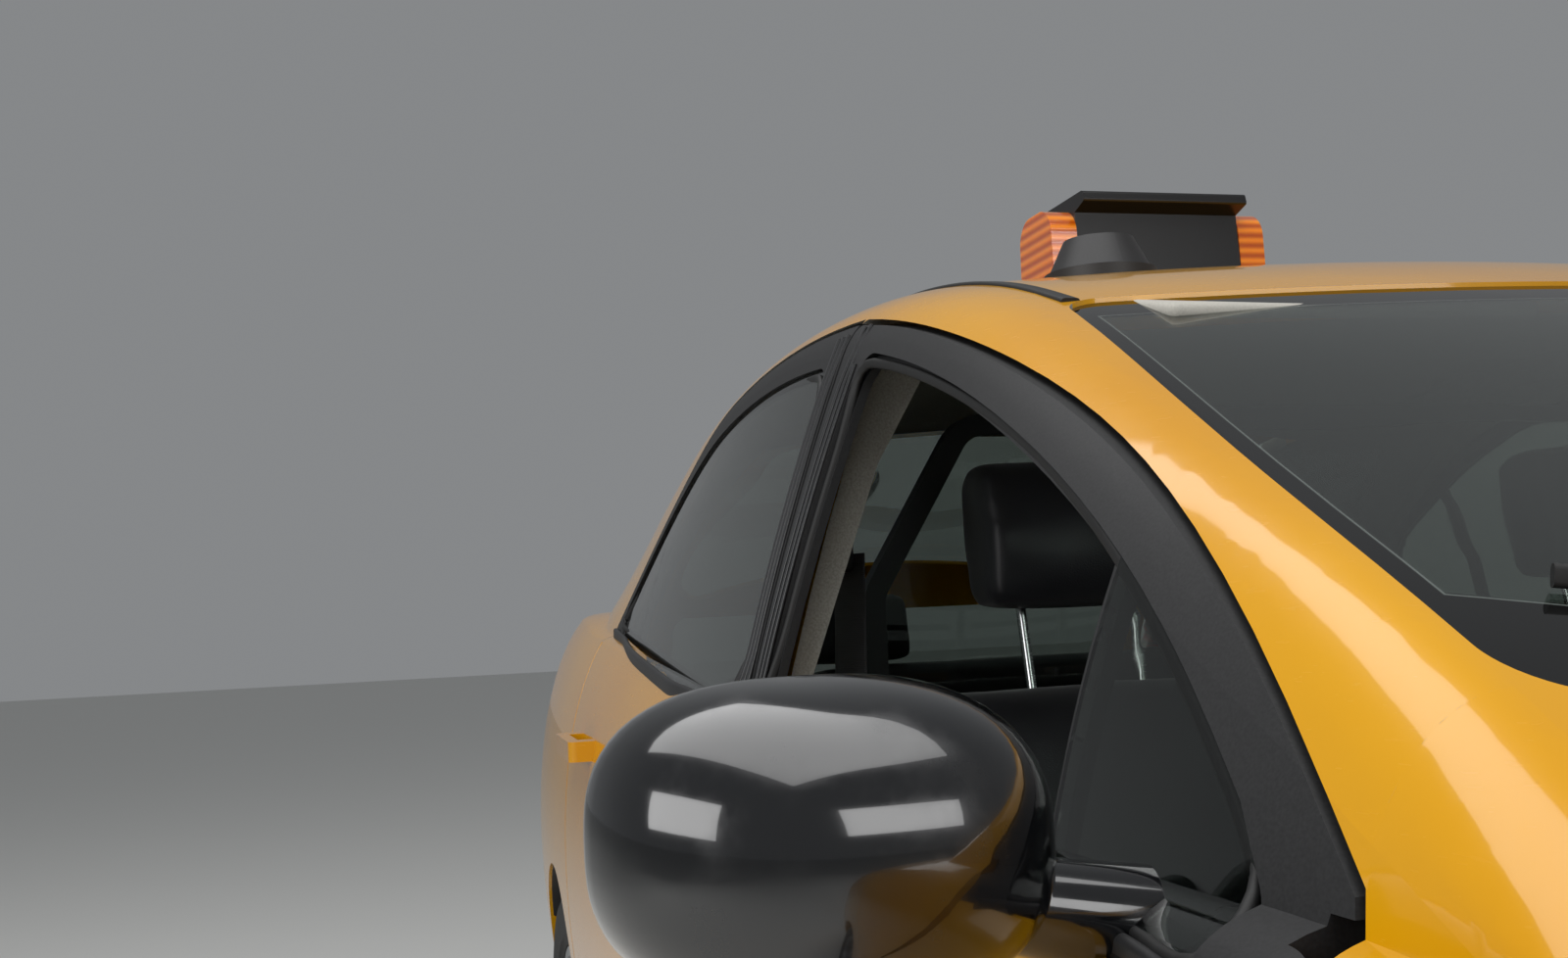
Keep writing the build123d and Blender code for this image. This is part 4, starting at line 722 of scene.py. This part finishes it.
for side, hand in ((-1, "right"), (1, "left")):
    skin = f"body_side_{hand}"
    whole = (-ARCH_REACH, ARCH_REACH)
    arch_liner(f"rear_arch_hump_{hand}", skin, REAR_AXLE_X, side, 0.349, 0.562, 0.812, whole, 0.548, True)
    arch_liner(f"rear_arch_liner_{hand}", skin, REAR_AXLE_X, side, 0.3485, 0.622, 0.812, whole, 0.33)
    for name, near, x_span in (("front", 0.604, (STRUT_SLOT, ARCH_REACH)),
                               ("back", 0.604, (-ARCH_REACH, -STRUT_SLOT)),
                               ("top", 0.700, (-STRUT_SLOT, STRUT_SLOT))):
        arch_liner(f"front_arch_liner_{name}_{hand}", "front_fenders", FRONT_AXLE_X, side, 0.387, near, 0.798,
                   x_span, 0.36)

# Dashboard fittings: air vents with slats, a hooded display, and a blank fare meter and instrument hood on top.


def soft_box(name, centre, size, bevel, turn=(0, 0, 0), segments=3):
    """A moulded block with rounded edges."""
    bpy.ops.object.select_all(action="DESELECT")
    bpy.ops.mesh.primitive_cube_add(size=1, location=centre, rotation=turn, scale=size)
    piece = bpy.context.object
    piece.name = name
    bpy.ops.object.transform_apply(location=True, rotation=True, scale=True)
    bpy.ops.object.mode_set(mode="EDIT")
    bpy.ops.mesh.select_all(action="SELECT")
    bpy.ops.mesh.bevel(offset=bevel, segments=segments, affect="EDGES")
    bpy.ops.object.mode_set(mode="OBJECT")
    return piece


display_glass = material_of("black_display_glass", Base_Color=linear("060708"), Coat_Weight=1.0,
                            Coat_Roughness=0.05)
feed(display_glass, "Roughness", ramp(display_glass, noise(display_glass, 40.0, 5.0), 0.45, 0.75, 0.1, 0.28))
DASH_FACE_X = FRONT_AXLE_X - 0.757
for number, y in enumerate((-0.60, -0.17, 0.17, 0.60)):
    vent = soft_box(f"air_vent_frame_{number}", (DASH_FACE_X - 0.003, y, 0.842), (0.020, 0.11, 0.062), 0.006)
    fit(vent, "root", satin_trim)
    for slat in range(4):
        blade = soft_box(f"air_vent_slat_{number}_{slat}", (DASH_FACE_X - 0.0135, y, 0.822 + 0.0135 * slat),
                         (0.006, 0.092, 0.0045), 0.001, segments=2)
        fit(blade, "root", grained_plastic)
display = soft_box("display_housing", (DASH_FACE_X - 0.004, 0.0, 0.835), (0.028, 0.205, 0.13), 0.008)
fit(display, "root", satin_trim)
glass = soft_box("display_glass", (DASH_FACE_X - 0.0185, 0.0, 0.835), (0.003, 0.185, 0.108), 0.001, segments=2)
fit(glass, "root", display_glass)
meter = soft_box("fare_meter_housing", (FRONT_AXLE_X - 0.640, -0.03, 0.966), (0.075, 0.175, 0.058), 0.007)
fit(meter, "root", grained_plastic)
meter_window = soft_box("fare_meter_window", (FRONT_AXLE_X - 0.6785, -0.03, 0.972), (0.003, 0.13, 0.030), 0.001,
                        segments=2)
fit(meter_window, "root", display_glass)
cluster = soft_box("instrument_hood", (FRONT_AXLE_X - 0.650, 0.370, 0.955), (0.13, 0.33, 0.055), 0.02)
fit(cluster, "root", grained_plastic)

# Cabin mirror and sun visors, hung from the windscreen head: a black shell with silvered glass, two padded
# grey flaps on a wire.
shell = soft_box("cabin_mirror_shell", (FRONT_AXLE_X - 0.93, 0.0, 1.285), (0.030, 0.245, 0.068), 0.011)
fit(shell, "root", grained_plastic)
inner_glass = soft_box("cabin_mirror_glass", (FRONT_AXLE_X - 0.9465, 0.0, 1.285), (0.003, 0.228, 0.054), 0.001,
                       segments=2)
fit(inner_glass, "root", silvered)
stem = strip("cabin_mirror_stem", [(FRONT_AXLE_X - 0.925, 0.0, 1.29), (FRONT_AXLE_X - 0.905, 0.0, 1.33),
                                   (FRONT_AXLE_X - 0.90, 0.0, 1.375)], 0.007, 0.007)
fit(stem, "root", grained_plastic)
visor_cloth = moulded("pale_grey_visor_cloth", "B8B5AC", "A19E96", 0.85, 0.5, 520.0)
for side, hand in ((-1, "right"), (1, "left")):
    visor = soft_box(f"sun_visor_{hand}", (FRONT_AXLE_X - 1.11, side * 0.33, 1.352), (0.15, 0.36, 0.016), 0.007,
                     turn=(0, math.radians(14), 0))
    fit(visor, "root", visor_cloth)

# Belts: woven polyester webbing from an anchor on each centre pillar down to the sill.
webbing = material_of("black_belt_webbing", Roughness=0.62, Sheen_Weight=0.3)
wave = add(webbing, "TexWave", {"Vector": place(webbing), "Scale": 160.0, "Distortion": 0.2},
           bands_direction="Z")
weave = wave.outputs["Fac"]
feed(webbing, "Base Color", blend_colour(webbing, weave, linear("141415"), linear("2B2B2D")))
bumped(webbing, weave, 0.5, 0.0006)
BELT_RUN = ((1.475, 0.665, 1.16), (1.470, 0.675, 0.95), (1.462, 0.685, 0.62), (1.455, 0.680, 0.30))
for side, hand in ((-1, "right"), (1, "left")):
    belt = strip(f"seat_belt_{hand}", [(FRONT_AXLE_X - station, side * y, z) for station, y, z in BELT_RUN],
                 0.023, 0.0012, math.pi / 2)
    fit(belt, "root", webbing)
    anchor = soft_box(f"belt_anchor_{hand}", (FRONT_AXLE_X - 1.475, side * 0.676, 1.165),
                      (0.058, 0.016, 0.050), 0.005)
    fit(anchor, "root", satin_trim)

# Door linings: an armrest of foam under black vinyl on the inside of each door.
vinyl = material_of("black_seat_vinyl_with_leather_grain", Roughness=0.42, Sheen_Weight=0.15)
cells = add(vinyl, "TexVoronoi", {"Vector": place(vinyl), "Scale": 320.0}, feature="DISTANCE_TO_EDGE")
pores = cells.outputs[0]
worn = ramp(vinyl, noise(vinyl, 6.0, 4.0), 0.35, 0.7)
feed(vinyl, "Base Color", blend_colour(vinyl, worn, linear("17171A"), linear("26262A")))
feed(vinyl, "Roughness", ramp(vinyl, worn, 0.0, 1.0, 0.52, 0.36))
bumped(vinyl, pores, 0.35, 0.0006)
for side, hand in ((-1, "right"), (1, "left")):
    for end, station in (("front", 1.09), ("rear", 1.98)):
        arm = soft_box(f"armrest_{end}_{hand}", (FRONT_AXLE_X - station, side * 0.708, 0.655),
                       (0.34, 0.044, 0.062), 0.014)
        fit(arm, f"door_{end}_{hand}", vinyl)

# Plate screws: two plated round heads on each blank plate.
PLATE_FACE_X = 2.2388
SCREW_SINK = 0.0012
for end, way in (("front", 1), ("rear", -1)):
    for dy in (-0.075, 0.075):
        bpy.ops.object.select_all(action="DESELECT")
        bpy.ops.mesh.primitive_cylinder_add(vertices=20, radius=0.006, depth=0.003,
                                            location=(way * (PLATE_FACE_X - SCREW_SINK), dy, 0.597),
                                            rotation=(0, math.pi / 2, 0))
        screw = bpy.context.object
        screw.name = f"plate_screw_{end}_{'a' if dy < 0 else 'b'}"
        bpy.ops.object.mode_set(mode="EDIT")
        bpy.ops.mesh.bevel(offset=0.0008, segments=2, affect="EDGES")
        bpy.ops.object.mode_set(mode="OBJECT")
        fit(screw, "root", plated_steel)

# Seats: foam pads under black vinyl, sewn with two lengthwise seams that pull into the foam. Each pad is cut
# to its profile and swelled by air pressure while its seams are held.
SEAT_Y = 0.370
CLOTH_FRAMES = 18


def pad_blank(name, profile, y_from, y_to, soften):
    """A closed pad with a side profile given as (station, z), softened at its edges."""
    bpy.ops.object.select_all(action="DESELECT")
    bpy.ops.mesh.primitive_circle_add(vertices=len(profile), radius=0.1, fill_type="NGON")
    piece = bpy.context.object
    piece.name = name
    for vertex, (station, z) in zip(piece.data.vertices, profile):
        vertex.co = (FRONT_AXLE_X - station, y_from, z)
    bpy.ops.object.mode_set(mode="EDIT")
    bpy.ops.mesh.select_all(action="SELECT")
    bpy.ops.mesh.extrude_region_move(TRANSFORM_OT_translate={"value": (0, y_to - y_from, 0)})
    bpy.ops.mesh.select_all(action="SELECT")
    bpy.ops.mesh.normals_make_consistent(inside=False)
    bpy.ops.mesh.bevel(offset=soften, segments=3, affect="EDGES")
    bpy.ops.object.mode_set(mode="OBJECT")
    return piece


def stuff(piece, seams, cell, swell):
    """Swells a pad like foam under its cover, and holds it in along its seams, given as widths."""
    remesh = piece.modifiers.new("even_cells", "REMESH")
    remesh.mode = "VOXEL"
    remesh.voxel_size = cell
    bpy.context.view_layer.objects.active = piece
    bpy.ops.object.modifier_apply(modifier=remesh.name)
    mesh = piece.data
    before = [vertex.co.copy() for vertex in mesh.vertices]
    held = piece.vertex_groups.new(name="seams")
    for vertex in mesh.vertices:
        near = min(abs(vertex.co.y - y) for y in seams)
        if near < cell * 0.6:
            held.add([vertex.index], 1.0, "REPLACE")
    cloth = piece.modifiers.new("cover", "CLOTH")
    cloth.settings.use_pressure = True
    cloth.settings.uniform_pressure_force = 4.0
    cloth.settings.vertex_group_mass = held.name
    cloth.settings.effector_weights.gravity = 0.0
    cloth.settings.quality = 4
    for number in range(1, CLOTH_FRAMES + 1):
        bpy.context.scene.frame_set(number)
    solved = piece.evaluated_get(bpy.context.evaluated_depsgraph_get()).to_mesh()
    after = [vertex.co.copy() for vertex in solved.vertices]
    piece.modifiers.remove(cloth)
    for vertex, start, end in zip(mesh.vertices, before, after):
        move = end - start
        if move.length > 1e-7:
            move = move.normalized() * min(move.length, swell)
        vertex.co = start + move
    bpy.context.scene.frame_set(1)
    smooth = piece.modifiers.new("round", "SUBSURF")
    smooth.levels = 1
    smooth.render_levels = 1
    bpy.ops.object.modifier_apply(modifier=smooth.name)
    return piece


polished_steel = material_of("polished_restraint_post_steel", Base_Color=linear("B9BABB"), Metallic=1.0)
brushing = noise(polished_steel, 90.0, 4.0, 0.5, (1, 1, 12))
feed(polished_steel, "Roughness", ramp(polished_steel, brushing, 0.3, 0.7, 0.12, 0.3))
CUSHION = [(0.912, 0.345), (0.905, 0.400), (0.925, 0.440), (1.05, 0.447), (1.25, 0.430), (1.375, 0.418),
           (1.385, 0.345)]
BACK = [(1.385, 0.395), (1.342, 0.520), (1.375, 0.70), (1.430, 0.86), (1.474, 0.985), (1.500, 1.003),
        (1.570, 1.000), (1.570, 0.88), (1.530, 0.62), (1.488, 0.395)]
REST = [(1.500, 1.095), (1.494, 1.17), (1.522, 1.255), (1.560, 1.264), (1.600, 1.250), (1.600, 1.17),
        (1.585, 1.095)]
for side, hand in ((-1, "right"), (1, "left")):
    centre = side * SEAT_Y
    parts = (("cushion", CUSHION, 0.232, 0.022, (-0.13, 0.13)),
             ("backrest", BACK, 0.224, 0.020, (-0.12, 0.12)),
             ("head_restraint", REST, 0.124, 0.018, (-0.118, 0.118)))
    for part, profile, half, soften, seams in parts:
        pad = pad_blank(f"seat_{part}_{hand}", profile, centre - half, centre + half, soften)
        stuff(pad, [centre + y for y in seams], 0.011, 0.012)
        fit(pad, "root", vinyl, 60)
    for dy in (-0.07, 0.07):
        post = strip(f"restraint_post_{hand}_{'inner' if dy * side < 0 else 'outer'}",
                     [(FRONT_AXLE_X - 1.532, centre + dy, 0.99), (FRONT_AXLE_X - 1.556, centre + dy, 1.11)],
                     0.006, 0.006)
        fit(post, "root", polished_steel)
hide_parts("front_seats")

# Rear bench: one long cushion and one back of the same foam and vinyl, with four seams and two head restraints.
BENCH = [(1.905, 0.355), (1.896, 0.43), (1.915, 0.462), (2.10, 0.464), (2.30, 0.452), (2.385, 0.447),
         (2.385, 0.436), (2.14, 0.436), (2.125, 0.355)]
BENCH_BACK = [(2.372, 0.44), (2.335, 0.53), (2.40, 0.74), (2.496, 0.995), (2.570, 0.995), (2.545, 0.70),
              (2.510, 0.44)]
BENCH_REST = [(2.500, 1.004), (2.522, 1.120), (2.585, 1.122), (2.578, 1.004)]
BENCH_SEAMS = (-0.36, -0.16, 0.16, 0.36)
REST_Y = 0.36
bench_cushion = pad_blank("bench_cushion", BENCH, -0.630, 0.630, 0.016)
stuff(bench_cushion, BENCH_SEAMS, 0.014, 0.009)
fit(bench_cushion, "root", vinyl, 60)
bench_back = pad_blank("bench_back", BENCH_BACK, -0.590, 0.590, 0.020)
stuff(bench_back, BENCH_SEAMS, 0.014, 0.010)
fit(bench_back, "root", vinyl, 60)
for side, hand in ((-1, "right"), (1, "left")):
    middle = side * REST_Y
    rest = pad_blank(f"bench_restraint_{hand}", BENCH_REST, middle - 0.115, middle + 0.115, 0.018)
    stuff(rest, (middle - 0.11, middle + 0.11), 0.011, 0.008)
    fit(rest, "root", vinyl, 60)
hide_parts("rear_bench")

# Seat rails: grey pressed boxes under each front seat, bolted to the floor.
seat_steel = rough_metal("grey_seat_rail_steel", "454545", "2D2D2D", 0.45)
for side, hand in ((-1, "right"), (1, "left")):
    for y in (-0.14, 0.14):
        bpy.ops.object.select_all(action="DESELECT")
        bpy.ops.mesh.primitive_cube_add(size=1, location=(FRONT_AXLE_X - 1.17, side * SEAT_Y + y, 0.277),
                                        scale=(0.42, 0.06, 0.124))
        rail = bpy.context.object
        rail.name = f"seat_rail_{hand}_{'inner' if y * side < 0 else 'outer'}"
        bpy.ops.object.mode_set(mode="EDIT")
        bpy.ops.mesh.bevel(offset=0.006, segments=2, affect="EDGES")
        bpy.ops.object.mode_set(mode="OBJECT")
        fit(rail, "root", seat_steel)

# Studio: a pale floor, an even grey surround, three soft lamps, and a camera beside the right front wheel.
bpy.ops.object.select_all(action="DESELECT")
bpy.ops.mesh.primitive_plane_add(size=60, location=(0, 0, 0))
ground = bpy.context.object
ground.name = "studio_floor"
floor_material = material_of("pale_studio_floor", Base_Color=linear("D9D9D6"), Roughness=0.9)
ground.data.materials.append(floor_material)

world = bpy.data.worlds.new("studio")
world.use_nodes = True
bpy.context.scene.world = world
background = world.node_tree.nodes["Background"]
background.inputs["Color"].default_value = linear("E6E9EC")
background.inputs["Strength"].default_value = 0.3


def softbox(name, location, target, size, power):
    """A broad soft lamp aimed at a point."""
    bpy.ops.object.light_add(type="AREA", location=location)
    lamp = bpy.context.object
    lamp.name = name
    lamp.data.shape = "RECTANGLE"
    lamp.data.size, lamp.data.size_y = size
    lamp.data.energy = power
    lamp.rotation_euler = (Vector(target) - Vector(location)).to_track_quat("-Z", "Y").to_euler()


softbox("overhead_softbox", (0.5, -1.0, 5.0), (0, 0, 0.8), (6.0, 4.0), 190)
softbox("right_softbox", (2.5, -5.5, 2.6), (0, -0.6, 0.8), (4.0, 2.2), 120)
softbox("front_softbox", (6.5, 1.5, 3.0), (1.0, 0, 0.8), (3.5, 2.0), 85)

camera_data = bpy.data.cameras.new("camera")
camera = bpy.data.objects.new("camera", camera_data)
bpy.context.collection.objects.link(camera)
camera_data.sensor_width = 36.0
camera_data.lens = 1556 / 1600 * camera_data.sensor_width
camera_data.clip_start = 0.02
YAW, PITCH, ROLL = (math.radians(angle) for angle in (14.42, 4.76, -2.64))
forward = Vector((-math.cos(YAW) * math.cos(PITCH), math.sin(YAW) * math.cos(PITCH), math.sin(PITCH)))
level = Vector((math.sin(YAW), math.cos(YAW), 0))
upward = level.cross(forward)
right = level * math.cos(ROLL) + upward * math.sin(ROLL)
top = upward * math.cos(ROLL) - level * math.sin(ROLL)
turn = Matrix((right, top, -forward)).transposed()
camera.matrix_world = Matrix.Translation((1.389, -1.134, 1.108)) @ turn.to_4x4()
bpy.context.scene.camera = camera
bpy.context.scene.view_settings.view_transform = "Standard"
